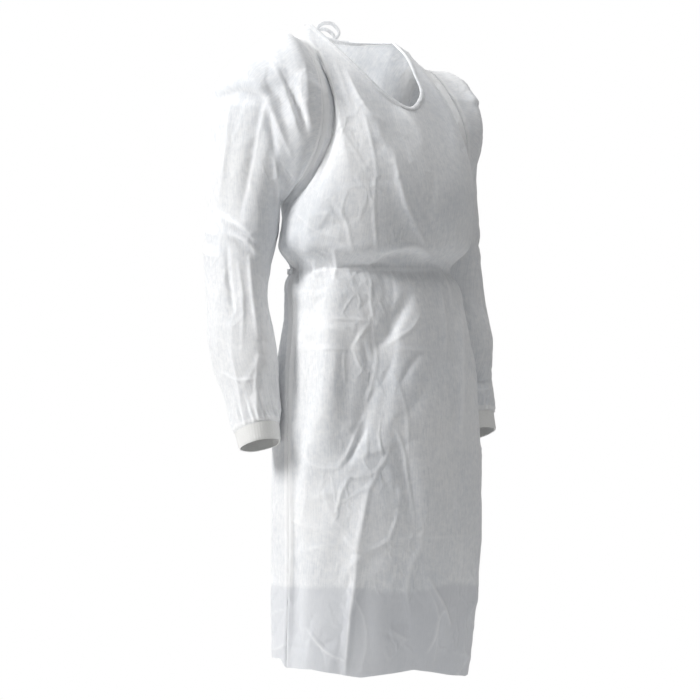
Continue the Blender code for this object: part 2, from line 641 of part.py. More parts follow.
def draw_in(piece):
    """Moves each edge point into its own piece, so that both edges that meet there lie half a gap further in."""
    moved = piece.grid.copy()
    for rim in piece.rims():
        for k, (place, inner) in enumerate(rim):
            point = piece.grid[place]
            ways = []
            for other, _ in (rim[k - 1], rim[(k + 1) % len(rim)]):
                along = piece.grid[other] - point
                along /= np.linalg.norm(along)
                step = piece.grid[inner] - point
                if np.linalg.norm(np.cross(step, along)) < 1e-6 * np.linalg.norm(step):
                    step = piece.grid[rim[k - 1][1]] - point
                step -= (step @ along) * along
                ways.append(step / np.linalg.norm(step))
            share = max(1.0 + ways[0] @ ways[1], 0.25)
            moved[place] = point + (ways[0] + ways[1]) / share * GAP * 0.5
    piece.grid = moved


def wall_mesh(name, outer, inner, closed):
    """A closed wall between an outer and an inner grid of points."""
    rows, columns = outer.shape[:2]
    vertices = np.concatenate([outer.reshape(-1, 3), inner.reshape(-1, 3)]) * MM
    shift = rows * columns
    rank = vertices @ np.array(SPLIT_ORDER)
    faces = []

    def spot(r, c):
        return r * columns + c % columns

    def rim(a, b, turn):
        """A face across the wall, split from its lower-ranking outer corner, as its neighbour's is at a seam."""
        face = (a, b, shift + b, shift + a)[::turn]
        start = face.index(a if rank[a] < rank[b] else b)
        return face[start:] + face[:start]

    spans = columns if closed else columns - 1
    for r in range(rows - 1):
        for c in range(spans):
            corner = (spot(r, c), spot(r + 1, c), spot(r + 1, c + 1), spot(r, c + 1))
            faces.append(corner)
            faces.append(tuple(shift + corner[k] for k in (0, 3, 2, 1)))
    for c in range(spans):
        for r, turn in ((0, 1), (rows - 1, -1)):
            faces.append(rim(spot(r, c), spot(r, c + 1), turn))
    if not closed:
        for r in range(rows - 1):
            for c, turn in ((0, -1), (columns - 1, 1)):
                faces.append(rim(spot(r, c), spot(r + 1, c), turn))
    return mesh_object(name, vertices, faces)


def mesh_object(name, vertices, faces):
    mesh = bpy.data.meshes.new(name)
    mesh.from_pydata([tuple(v) for v in vertices], [], faces)
    mesh.validate()
    mesh.shade_smooth()
    mesh.set_sharp_from_angle(angle=math.radians(50))
    node = bpy.data.objects.new(name, mesh)
    collection().objects.link(node)
    return node


def collection():
    found = bpy.data.collections.get("isolation_gown")
    if found is None:
        found = bpy.data.collections.new("isolation_gown")
        bpy.context.scene.collection.children.link(found)
    return found


def material(name, colour, roughness):
    made = bpy.data.materials.new(name)
    made.use_nodes = True
    shader = made.node_tree.nodes["Principled BSDF"]
    shader.inputs["Base Color"].default_value = (*colour, 1)
    shader.inputs["Roughness"].default_value = roughness
    shader.inputs["Metallic"].default_value = 0.0
    return made


# ---- Trim ----------------------------------------------------------------------------------------------------------


def swept(name, path, faces, section_of):
    """A closed solid swept along a path; section_of gives the outline from the way that the flat side faces."""
    ahead = np.gradient(path, axis=0)
    ahead /= np.linalg.norm(ahead, axis=1)[:, None]
    face = faces - np.sum(faces * ahead, axis=1)[:, None] * ahead
    face /= np.linalg.norm(face, axis=1)[:, None]
    flat = np.cross(ahead, face)
    outline = section_of
    loops = np.array([path + flat * a + face * b for a, b in outline]).transpose(1, 0, 2)
    count, sides = loops.shape[:2]
    quads = [tuple(reversed((r * sides + c, r * sides + (c + 1) % sides, (r + 1) * sides + (c + 1) % sides,
                             (r + 1) * sides + c))) for r in range(count - 1) for c in range(sides)]
    caps = [tuple(range(sides)), tuple(reversed(range((count - 1) * sides, count * sides)))]
    return mesh_object(name, loops.reshape(-1, 3) * MM, quads + caps)


def strip(row, origin=(0, 0, 0)):
    """A flat tie along the row's path, which starts from origin."""
    path = smooth_path(np.array(row.path, float) + np.array(origin), STRIP_STEPS)
    share = np.linspace(0, 1, len(path))[:, None]
    faces = np.array(row.face_start) * (1 - share) + np.array(row.face_end) * share
    half, wall = row.width / 2, TIE_WALL / 2
    return swept(row.name, path, faces, [(-half, -wall), (half, -wall), (half, wall), (-half, wall)])


def knot(name, centre, size):
    """A tie's knot: a small soft ball, wider than it is deep."""
    bpy.ops.mesh.primitive_uv_sphere_add(segments=12, ring_count=8, radius=0.5)
    ball = bpy.context.object
    ball.name = ball.data.name = name
    for vertex in ball.data.vertices:
        vertex.co = [(vertex.co[k] * size[k] + centre[k]) * MM for k in range(3)]
    for holder in ball.users_collection:
        holder.objects.unlink(ball)
    collection().objects.link(ball)
    ball.data.shade_smooth()
    return ball


def binding(front, back_right, back_left):
    """The neck binding: a strip folded over the neck edge, made from the panels' own edge points."""
    first = ARMHOLE_STEPS + SHOULDER_STEPS
    runs = [(back_right, 0, NAPE_STEPS), (front, first, NECK_STEPS), (back_left, first, NAPE_STEPS)]
    clear = BINDING_CLEAR
    far = BINDING_WALL + clear
    outline = [(far, -far), (far, BINDING_WIDTH), (clear, BINDING_WIDTH), (clear, -clear),
               (-WALL - clear, -clear), (-WALL - clear, BINDING_WIDTH), (-WALL - far, BINDING_WIDTH),
               (-WALL - far, -far)]
    loops = []
    for piece, start, steps in runs:
        along = np.gradient(piece.grid[0, start:start + steps + 1], axis=0)
        for k in range(steps + 1):
            c = start + k
            below = (1, c)
            if piece is front and k in (0, steps):
                # At the neck points the binding crosses the shoulder seams.
                below = (0, c - 1 if k == 0 else c + 1)
            elif piece is back_right and k == steps or piece is back_left and k == 0:
                continue
            fall = piece.grid[below] - piece.grid[0, c]
            turn = piece.normal[below] - piece.normal[0, c]
            square = np.linalg.norm(np.cross(fall, along[k])) / np.linalg.norm(along[k])
            loops.append([piece.grid[0, c] + fall * (b / square) + (piece.normal[0, c] + turn * (b / square)) * a
                          for a, b in outline])
    loops = np.array(loops)
    count, sides = loops.shape[:2]
    quads = []
    for r in range(count - 1):
        for c in range(sides):
            corner = [r * sides + c, r * sides + (c + 1) % sides, (r + 1) * sides + (c + 1) % sides,
                      (r + 1) * sides + c]
            # Both faces that lie along the cloth are split the way that the panels' are.
            quads.append(corner[1:] + corner[:1] if c in (2, 6) else corner)
    caps = []
    for r, turn in ((0, -1), (count - 1, 1)):
        base = r * sides
        for four in ((0, 1, 2, 3), (0, 3, 4, 7), (4, 5, 6, 7)):
            caps.append(tuple(base + k for k in four)[::turn])
    return mesh_object("neck_binding", loops.reshape(-1, 3) * MM, quads + caps)


def waist_line(angles):
    """Points on the outermost cloth at the waist, and the way out from it."""
    base = body_point(angles, np.full(len(angles), WAIST_Z))
    lift = np.where(angles < 90.0, lap_lift(angles), LAP_LIFT * ease(-angles, -162.0, -128.0))
    out = outward(angles)
    return base + lift[:, None] * out, out


def waist_tie(name, seam, centre):
    """A waist tie, from its side seam round the back to the knot."""
    angles = np.linspace(seam, centre, WAIST_TIE_STEPS + 1)
    line, out = waist_line(angles)
    path = line + out * (WAIST_TIE_STAND + TIE_WALL / 2)
    half, wall = WAIST_TIE_WIDTH / 2, TIE_WALL / 2
    return swept(name, path, out, [(-half, -wall), (half, -wall), (half, wall), (-half, wall)])


# ---- The gown ------------------------------------------------------------------------------------------------------


def paint(nodes, finish):
    for node in nodes:
        node.data.materials.append(finish)


def build():
    for item in list(bpy.data.objects):
        bpy.data.objects.remove(item, do_unlink=True)

    front = Cloth("front", front_panel())
    back_right = Cloth("back_right", back_panel(-1)[:, ::-1], free_column=0)
    back_left = Cloth("back_left", back_panel(1), free_column=-1)
    sleeves = [Cloth("sleeve_right", tube(SLEEVE, SLEEVE_ROWS, -1, armhole_loop(-1))[:, ::-1], True),
               Cloth("sleeve_left", tube(SLEEVE, SLEEVE_ROWS, 1, armhole_loop(1)), True)]
    cuffs = [Cloth("cuff_right", tube(CUFF, 3, -1)[:, ::-1], True, CUFF_WALL),
             Cloth("cuff_left", tube(CUFF, 3, 1), True, CUFF_WALL)]
    pieces = [front, back_right, back_left, *sleeves, *cuffs]
    for piece in pieces:
        piece.fold()
    share_normals(pieces)
    for piece in pieces:
        draw_in(piece)
    nodes = {}
    for piece in pieces:
        inner = piece.grid - piece.wall * piece.normal
        nodes[piece.name] = wall_mesh(piece.name, piece.grid, inner, piece.closed)

    trim = [binding(front, back_right, back_left), knot("neck_knot", NECK_KNOT, NECK_KNOT_SIZE)]
    trim += [strip(row) for row in NECK_STRIPS]
    line, out = waist_line(np.array([90.0]))
    middle = line[0] + out[0] * WAIST_KNOT_STAND
    trim.append(knot("waist_knot", middle, WAIST_KNOT_SIZE))
    seam_right, seam_left = 180.0 - seam_angle(WAIST_Z), float(seam_angle(WAIST_Z))
    trim.append(waist_tie("waist_tie_right", seam_right, 90.0 + WAIST_KNOT_TURN))
    trim.append(waist_tie("waist_tie_left", seam_left, 90.0 - WAIST_KNOT_TURN))
    trim += [strip(row, (line[0][0], line[0][1], WAIST_Z)) for row in WAIST_STRIPS]

    paint([nodes[n] for n in ("front", "back_right", "back_left", "sleeve_right", "sleeve_left")],
          material("spunbond_polypropylene", CLOTH_WHITE, 0.75))
    paint([nodes["cuff_right"], nodes["cuff_left"]], material("knitted_cuff", CUFF_WHITE, 0.9))
    paint(trim, material("folded_spunbond_trim", TRIM_WHITE, 0.7))


if __name__ == "__main__":
    build()
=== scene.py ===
"""A worn isolation gown of white spunbond nonwoven, with its creases, seams, knitted cuffs, bound neck and bows.

It runs in Blender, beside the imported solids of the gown, and makes one cloth piece for each of them. The gown
faces -Y, and its right side is at -X. The tables are in millimetres and degrees, and the meshes in metres.
"""

import math
from collections import namedtuple

import bpy
import numpy as np
from bpy.props import FloatProperty, FloatVectorProperty, IntProperty, PointerProperty
from bpy.types import Operator, Panel, PropertyGroup
from mathutils.kdtree import KDTree
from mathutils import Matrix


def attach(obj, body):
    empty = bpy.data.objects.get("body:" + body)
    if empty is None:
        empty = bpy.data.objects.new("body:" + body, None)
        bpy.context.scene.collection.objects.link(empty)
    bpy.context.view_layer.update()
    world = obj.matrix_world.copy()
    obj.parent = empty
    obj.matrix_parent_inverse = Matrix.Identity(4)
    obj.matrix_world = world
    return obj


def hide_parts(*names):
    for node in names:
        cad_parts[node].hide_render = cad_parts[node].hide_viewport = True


bl_info = {
    "name": "Isolation gown",
    "version": (1, 0, 0),
    "blender": (4, 5, 0),
    "location": "3D view > Sidebar > Gown",
    "description": "Makes the cloth, seams, cuffs, binding and bows of a worn isolation gown",
    "category": "Object",
}

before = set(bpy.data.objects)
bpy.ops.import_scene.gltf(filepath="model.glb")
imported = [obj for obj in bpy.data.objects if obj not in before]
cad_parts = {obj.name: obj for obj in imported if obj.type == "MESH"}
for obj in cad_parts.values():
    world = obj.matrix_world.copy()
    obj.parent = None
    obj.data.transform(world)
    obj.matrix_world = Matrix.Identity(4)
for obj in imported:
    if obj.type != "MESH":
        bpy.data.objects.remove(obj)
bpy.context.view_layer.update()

MM = 0.001

# ---- Driving sizes ----

GAP = 0.3  # between two pieces at a seam
SEAM_STAND = 0.05  # how far the stitches' line stands off the cloth
WAIST_TIE_WIDTH = 9.0
TIE_WALL = 1.4

CHEST_Z = -330.0  # the level ring below the armholes
WAIST_Z = -417.0  # where the ties draw the gown in
LAST_LEVEL_Z = -1062.0  # the last level row, above the hem
MITRE_LIMIT = 0.78  # two walls share a mitre where both normals come this near to their mean, as a cosine
LAP_LIFT = 8.0  # how far the left back stands off the right back

ARMHOLE_STEPS = 72  # columns of a panel along one side of the armhole
SHOULDER_STEPS = 12  # columns along the shoulder seam
NECK_STEPS = 84  # columns along the front neck
NAPE_STEPS = 48  # columns along one back's neck edge
YOKE_ROWS = 74  # rows from the panel's top edge to the chest ring
BODICE_ROWS = 24  # from the chest ring to the waist
SKIRT_ROWS = 176  # from the waist to the last level row
HEM_ROWS = 16  # from there to the hem
SLEEVE_ROWS = 220
CUFF_ROWS = 16
SLACK_REACH = 46.0  # how far from an armhole its cloth evens out
SLACK_ROUNDS = 150
RIDGE_HIGHLIGHT_WIDTH = 2.0  # half the width of the painted highlight along a raised crease's ridge
PAINTED_HEM_SHADE_Z = -966.0  # the skirt's colour is painted greyer below this height: painted shade where it hangs free

FLOOR_Z = -1620.0

# aim is what a light is turned to, in millimetres, and the gown's middle where it is None. turn is how far round from
# the gown's front the light stands, below 0 towards its right, lift its angle above the level, and distance and size
# are in metres. The inner light stands in for the daylight that comes through the thin cloth of the back.
Light = namedtuple("Light", "name aim turn lift distance size")

LIGHTS = [
    Light("key", None, -100, 30, 4.5, 1.6),
    Light("overhead", None, -20, 82, 3.6, 2.6),
    Light("behind", None, 165, 38, 4.5, 2.0),
    Light("inner", (0, 80, -50), 0, 0, 0.12, 0.1),
]

# Where the columns from the top edge's corners reach the chest ring, as a share of the way across the panel.
ARMHOLE_SHARE = 0.50
NECK_SHARE = 0.39
BACK_ARMHOLE_SHARE = 0.42
NAPE_SHARE = 0.54

# ---- Edges: a row for each point that the edge runs through ----
# lead is the angle from straight down at which the cloth leaves the edge, forward on the front and back on the backs,
# and aside is how much of its way goes sideways there.

Spot = namedtuple("Spot", "name x y z lead aside")

NECK_FRONT = [
    Spot("right neck point", -98, 6, 22, 51, -0.60),
    Spot("right side", -88, -50, -18, 40, -0.50),
    Spot("right front", -66, -105, -68, 30, -0.44),
    Spot("right bottom", -32, -137, -112, 20, -0.25),
    Spot("bottom", 4, -149, -131, 20, 0.00),
    Spot("left bottom", 38, -134, -108, 20, 0.25),
    Spot("left front", 58, -88, -63, 30, 0.44),
    Spot("left side", 69, -45, -26, 40, 0.50),
    Spot("left neck point", 76, 1, 1, 41, 0.60),
]
NAPE_RIGHT = [
    Spot("right neck point", -98, 6, 22, 66, -0.50),
    Spot("right nape", -58, 43, 12, 38, -0.25),
    Spot("nape", -4, 58, 5, 20, 0.00),
    Spot("free edge", 16, 56, 4, 20, 0.00),
]
NAPE_LEFT = [
    Spot("left neck point", 76, 1, 1, 67, 0.50),
    Spot("left nape", 46, 49, 4, 46, 0.25),
    Spot("nape", 2, 67, 5, 34, 0.00),
    Spot("free edge", -16, 67, 6, 34, 0.00),
]
# The armholes are the same on both sides but for the lean of the shoulders, so they are given with x outward.
ARMHOLE_FRONT = [
    Spot("shoulder tip", 143, 8, -4, 68, -0.30),
    Spot("upper front", 134, -42, -46, 46, -0.45),
    Spot("front", 143, -104, -114, 26, -0.60),
    Spot("chest", 149, -122, -166, 15, -0.60),
    Spot("lower front", 166, -100, -228, 8, -0.50),
    Spot("low front", 180, -52, -272, 4, -0.20),
    Spot("underarm", 177, -10, -292, 0, 0.00),
]
ARMHOLE_BACK = [
    Spot("shoulder tip", 143, 8, -4, 62, -0.25),
    Spot("upper back", 140, 46, -46, 34, -0.30),
    Spot("shoulder blade", 146, 70, -120, 12, -0.50),
    Spot("lower back", 160, 58, -205, 4, -0.50),
    Spot("low back", 174, 24, -262, 2, -0.20),
    Spot("underarm", 177, -10, -292, 0, 0.00),
]
LEAN = 22.0  # the right shoulder stands this much higher than level, and the left one lower
LEAN_WIDTH = 330.0  # where the lean has died away, from the middle
LEFT_DROP = 15.0  # the cap of the left sleeve falls away this much more steeply
SWAY = 9.0  # the upper arms hang this far towards the right
LEFT_WRIST_RISE = 12.0  # the left sleeve ends this much higher

# ---- Body: a row for each level section ----
# middle is the y of the section's centre; seam is how far the side seams lie behind its widest points.

Section = namedtuple("Section", "name z half_width front back middle seam")

BODY = [
    Section("chest", -330, 183, 144, 134, -57, 19),
    Section("blouse", -376, 183, 138, 126, -46, 15),
    Section("waist", -417, 149, 122, 118, -34, 9),
    Section("below the ties", -434, 161, 128, 122, -38, 7),
    Section("hip", -486, 169, 140, 132, -46, 4),
    Section("seat", -587, 184, 157, 150, -49, 1),
    Section("thigh", -740, 193, 167, 158, -52, -2),
    Section("knee", -880, 194, 168, 158, -52, -3),
    Section("calf", -1040, 190, 156, 146, -42, -3),
    Section("hem", -1140, 186, 145, 136, -32, -3),
]

Hem = namedtuple("Hem", "name share z")

# share runs across a panel: -1 at the right side seam to 1 at the left one on the front, 0 at the seam to 1 at the
# free edge on a back.
HEM_FRONT = [
    Hem("right seam", -1.0, -1107),
    Hem("right", -0.75, -1106),
    Hem("right front", -0.4, -1119),
    Hem("middle", -0.05, -1109),
    Hem("left front", 0.25, -1124),
    Hem("left", 0.5, -1134),
    Hem("left seam", 1.0, -1131),
]
HEM_RIGHT_BACK = [
    Hem("seam corner", 0.0, -1107),
    Hem("side", 0.05, -1092),
    Hem("back", 0.5, -1098),
    Hem("free edge", 1.0, -1106),
]
HEM_LEFT_BACK = [Hem("side", 0.0, -1131), Hem("back", 0.5, -1116), Hem("free edge", 1.0, -1108)]

Lap = namedtuple("Lap", "name z reach")

# How far each back reaches past the centre back.
LAPS = [
    Lap("chest", -330, 42),
    Lap("waist", -417, 62),
    Lap("skirt", -700, 84),
    Lap("hem", -1140, 76),
]

# Upright folds of the skirt and the blouse: angle round the body from its left side (90 is the back, 270 the front),
# half width in degrees, and how far the fold stands out (or in) at three levels.
Pleat = namedtuple("Pleat", "name angle width chest waist hem")

PLEATS = [
    Pleat("right hip lobe", 224, 13, 2, 3, -2),
    Pleat("right hip trough", 252, 8, 0, -3, -2),
    Pleat("middle front", 270, 9, 0, 2, 4),
    Pleat("left of middle", 292, 10, -2, -4, -3),
    Pleat("left front", 318, 10, 0, 3, 5),
    Pleat("left trough", 338, 7, -2, -4, -6),
    Pleat("left side", 356, 9, 2, 2, 5),
    Pleat("left back", 26, 9, -2, -5, -6),
    Pleat("left lap", 50, 8, 3, 4, 7),
    Pleat("centre back", 78, 10, -3, -5, -6),
    Pleat("right lap", 112, 9, 2, 4, 6),
    Pleat("right back", 138, 9, -3, -5, -6),
    Pleat("right side", 162, 8, 2, 3, 4),
    Pleat("right seam", 190, 7, -1, -3, -4),
]

# ---- Sleeves: a row for each ring below the armhole, with x outward ----
# A ring runs from its inner point to its outer point and is depth deep, front to back, on each side of y.

Ring = namedtuple("Ring", "name x_in z_in x_out z_out y depth nose")

SLEEVE = [
    Ring("cap", 182, -303, 188, -22, -14, 104, 0),
    Ring("shoulder", 185, -313, 220, -49, 2, 98, 0),
    Ring("upper arm", 184, -322, 248, -72, 17, 93, 0),
    Ring("above the bend", 178, -330, 263, -140, 28, 88, 0),
    Ring("arm", 170, -340, 270, -222, 36, 83, 0),
    Ring("lower arm", 165, -356, 276, -308, 41, 79, 0),
    Ring("elbow", 170, -384, 285, -368, 42, 76, 3),
    Ring("below the elbow", 184, -424, 288, -420, 35, 65, 5),
    Ring("forearm", 194, -483, 291, -483, 23, 60, 8),
    Ring("mid forearm", 191, -532, 293, -532, 13, 66, 10),
    Ring("lower forearm", 188, -585, 287, -585, 3, 67, 13),
    Ring("above the wrist", 189, -630, 280, -630, -8, 57, 17),
    Ring("gathers", 193, -670, 277, -670, -20, 49, 21),
    Ring("wrist", 197, -692, 274, -692, -28, 41, 23),
]
CUFF = [
    Ring("cuff seam", 197, -692, 274, -692, -28, 41, 23),
    Ring("cuff middle", 198, -706, 273, -706, -33, 38, 22),
    Ring("cuff edge", 199, -720, 272, -720, -38, 36, 21),
]

# ---- Large folds: a row for each, placed on the side that it is seen from ----
# path holds points (across, up) on the plane that faces the view, width is half the fold's width, and height is how
# far it stands out, or in where it is below 0.

Fold = namedtuple("Fold", "name pieces view path width height")


def in_order(kind, groups):
    """The rows of a table whose groups share their pieces and the view that places them."""
    return [kind(name, pieces, view, *rest) for pieces, view, rows in groups for name, *rest in rows]


BODY_FRONT = ("front",)
RIGHT_ARM = ("sleeve_right",)
LEFT_ARM = ("sleeve_left",)
BACKS = ("back_right", "back_left")

FOLDS = in_order(Fold, [
    (BODY_FRONT, -35, [
        ("lobe over the hip", [(-72, -470), (-66, -560), (-58, -660), (-52, -735)], 34, 9),
        ("trough beside the lobe", [(20, -480), (28, -560), (12, -655), (-16, -735)], 18, -8),
        ("blouse over the waist", [(-30, -392), (20, -380), (70, -374), (118, -384)], 16, 6),
        ("hollow over the waist", [(30, -402), (75, -396), (105, -402)], 10, -7),
        ("right shoulder to chest", [(-20, -76), (4, -128), (22, -152), (38, -162)], 13, 5),
        ("under the right shoulder", [(-36, -100), (-16, -165), (10, -230)], 18, -5),
        ("neck to left chest", [(72, -142), (104, -180), (112, -208)], 12, 4),
        ("left chest", [(60, -212), (72, -268), (86, -318), (112, -376)], 14, 5),
        ("left shoulder", [(112, -60), (136, -104), (158, -150), (176, -216)], 12, 5),
        ("left armpit", [(132, -236), (133, -316)], 14, -5),
        ("left skirt edge", [(178, -490), (180, -600), (181, -735)], 11, 5),
        ("waist to left thigh", [(84, -468), (58, -508), (34, -548)], 16, -6),
        ("left hip", [(138, -430), (144, -490), (150, -565)], 12, 5),
        ("knee to hem", [(10, -800), (-2, -905), (-12, -1000), (-22, -1090)], 16, 5),
        ("left of the knee", [(64, -690), (82, -780), (94, -860)], 16, -5),
        ("lower left", [(124, -950), (136, -1000), (156, -1060)], 16, 5),
        ("right thigh", [(-118, -760), (-116, -900), (-112, -1040)], 14, -5),
    ]),
    (RIGHT_ARM, -35, [
        ("shoulder fan, front", [(-150, -40), (-130, -84), (-106, -160)], 9, 5),
        ("shoulder fan, hollow", [(-132, -72), (-112, -120), (-90, -180)], 10, -8),
        ("shoulder fan, middle", [(-158, -95), (-136, -150), (-118, -208)], 10, -7),
        ("shoulder fan, ridge", [(-155, -124), (-136, -165), (-116, -206)], 8, 5),
        ("crosswise fold", [(-245, -112), (-205, -104), (-160, -122)], 9, -6),
        ("along the upper arm", [(-226, -130), (-236, -210), (-248, -290)], 12, 4),
        ("behind the armpit", [(-164, -140), (-180, -215), (-200, -310)], 14, -6),
        ("elbow, upper", [(-240, -322), (-204, -345), (-180, -362)], 10, 5),
        ("elbow, lower", [(-228, -360), (-196, -382), (-180, -402)], 9, -5),
        ("along the forearm", [(-226, -392), (-220, -450), (-214, -500)], 9, -5),
        ("inside of the forearm", [(-188, -400), (-182, -460), (-174, -545)], 9, 4),
        ("above the cuff", [(-150, -590), (-148, -640), (-156, -672)], 13, -6),
    ]),
    (LEFT_ARM, -35, [
        ("left arm wrinkle", [(200, -600), (240, -622)], 9, -5),
    ]),
    (LEFT_ARM, 20, [
        ("left upper arm", [(244, -120), (250, -200), (256, -300)], 12, 4),
        ("left elbow", [(200, -330), (236, -360), (270, -372)], 11, -6),
        ("left forearm", [(236, -440), (240, -520), (238, -600)], 11, -5),
    ]),
    (RIGHT_ARM, 180, [
        ("back of the right elbow", [(200, -330), (236, -366), (270, -380)], 12, -6),
        ("back of the right arm", [(220, -110), (232, -200), (236, -290)], 12, 5),
        ("back of the right forearm", [(236, -430), (240, -520), (236, -620)], 12, 5),
    ]),
    (LEFT_ARM, 180, [
        ("back of the left elbow", [(-206, -342), (-240, -360), (-276, -366)], 12, -6),
        ("back of the left arm", [(-216, -120), (-228, -190), (-240, -280)], 12, 5),
        ("back of the left forearm", [(-240, -440), (-236, -530), (-240, -610)], 12, 5),
    ]),
    (BACKS, 180, [
        ("nape to right blade", [(30, -40), (58, -110), (70, -190)], 16, 4),
        ("nape to left blade", [(-34, -50), (-60, -120), (-76, -210)], 16, 4),
        ("right blade to waist", [(96, -250), (70, -320), (52, -380)], 16, -5),
        ("left blade to waist", [(-98, -260), (-76, -330), (-50, -384)], 16, 5),
    ]),
])

# ---- Ties ----
# Each strip is a path of points and the way that its flat side faces at each end.

Strip = namedtuple("Strip", "name path face_start face_end width")

NECK_KNOT = (0, 77, 2)
NECK_KNOT_SIZE = (11, 8, 11)
NECK_STRIPS = [
    Strip("neck_loop_1", [(2, 77, 8), (12, 80, 22), (2, 84, 36), (-14, 86, 38), (-30, 84, 30), (-36, 81, 14),
                          (-24, 78, 4), (-7, 77, 3)], (0, 1, 0.2), (0, 1, 0.2), 7),
    Strip("neck_loop_2", [(5, 81, 6), (4, 90, 20), (-6, 94, 27), (-18, 93, 27), (-28, 90, 20), (-30, 87, 8),
                          (-18, 84, -3), (-5, 81, -3)], (0, 1, 0.4), (0, 1, 0.4), 7),
    Strip("neck_end_1", [(4, 79, -4), (10, 86, -18), (15, 95, -44), (16, 103, -78), (20, 108, -116), (25, 110, -148)],
          (0.2, 1, 0.3), (0.1, 1, 0), 7),
    Strip("neck_end_2", [(-4, 79, -4), (-11, 86, -18), (-16, 95, -42), (-22, 104, -74), (-24, 108, -106),
                         (-29, 110, -134)], (-0.2, 1, 0.3), (-0.1, 1, 0), 7),
]
WAIST_KNOT_SIZE = (20, 12, 19)
WAIST_KNOT_STAND = 9.0  # the knot's centre, off the back
WAIST_TIE_STAND = 4.0  # the ties' inner face, off the cloth
WAIST_KNOT_TURN = 4.6  # the ties end this many degrees from the knot's middle
# Points are (x, distance off the waist's outermost back, z below the waist).
WAIST_STRIPS = [
    Strip("waist_loop_1", [(-11, 13, 2), (-30, 17, 10), (-54, 21, 2), (-66, 23, -20), (-56, 23, -42), (-38, 20, -46),
                           (-22, 17, -30), (-11, 14, -10)], (0, 1, 0.2), (0, 1, 0.2), 14),
    Strip("waist_loop_2", [(11, 13, 2), (28, 17, 12), (52, 22, 6), (68, 25, -14), (62, 26, -38), (44, 22, -48),
                           (24, 18, -30), (11, 14, -10)], (0, 1, 0.2), (0, 1, 0.2), 14),
    Strip("waist_end_1", [(-9, 17, -10), (-16, 24, -44), (-22, 31, -100), (-30, 37, -170), (-33, 43, -232)],
          (0, 1, 0.3), (-0.15, 1, 0), 14),
    Strip("waist_end_2", [(9, 17, -10), (17, 24, -44), (20, 32, -96), (28, 39, -160), (26, 45, -208)],
          (0, 1, 0.3), (0.15, 1, 0), 14),
]

# ---- Creases: a row for each ----
# kind is soft (round), crest (sharp) or lap (the cloth overhangs on the path's left). Where view is PICTURE, path holds
# points in the 700 x 700 picture, across and down, and otherwise (across, up) in millimetres on the plane that faces
# the view's angle. width is half the crease's width and height is how far it stands out, or in where it is below 0.

PICTURE = None
PICTURE_SIZE = 700.0
PICTURE_ANGLE = -35.0  # the camera stands this far round from the gown's front, towards its right
PICTURE_SCALE = 1.79  # millimetres to a picture point, at the gown's middle
CAMERA_DISTANCE = 4800.0
AIM_ASIDE = -16.0  # the camera aims this far to its left of the gown's middle
AIM_Z = -555.0

Crease = namedtuple("Crease", "name pieces view kind path width height")

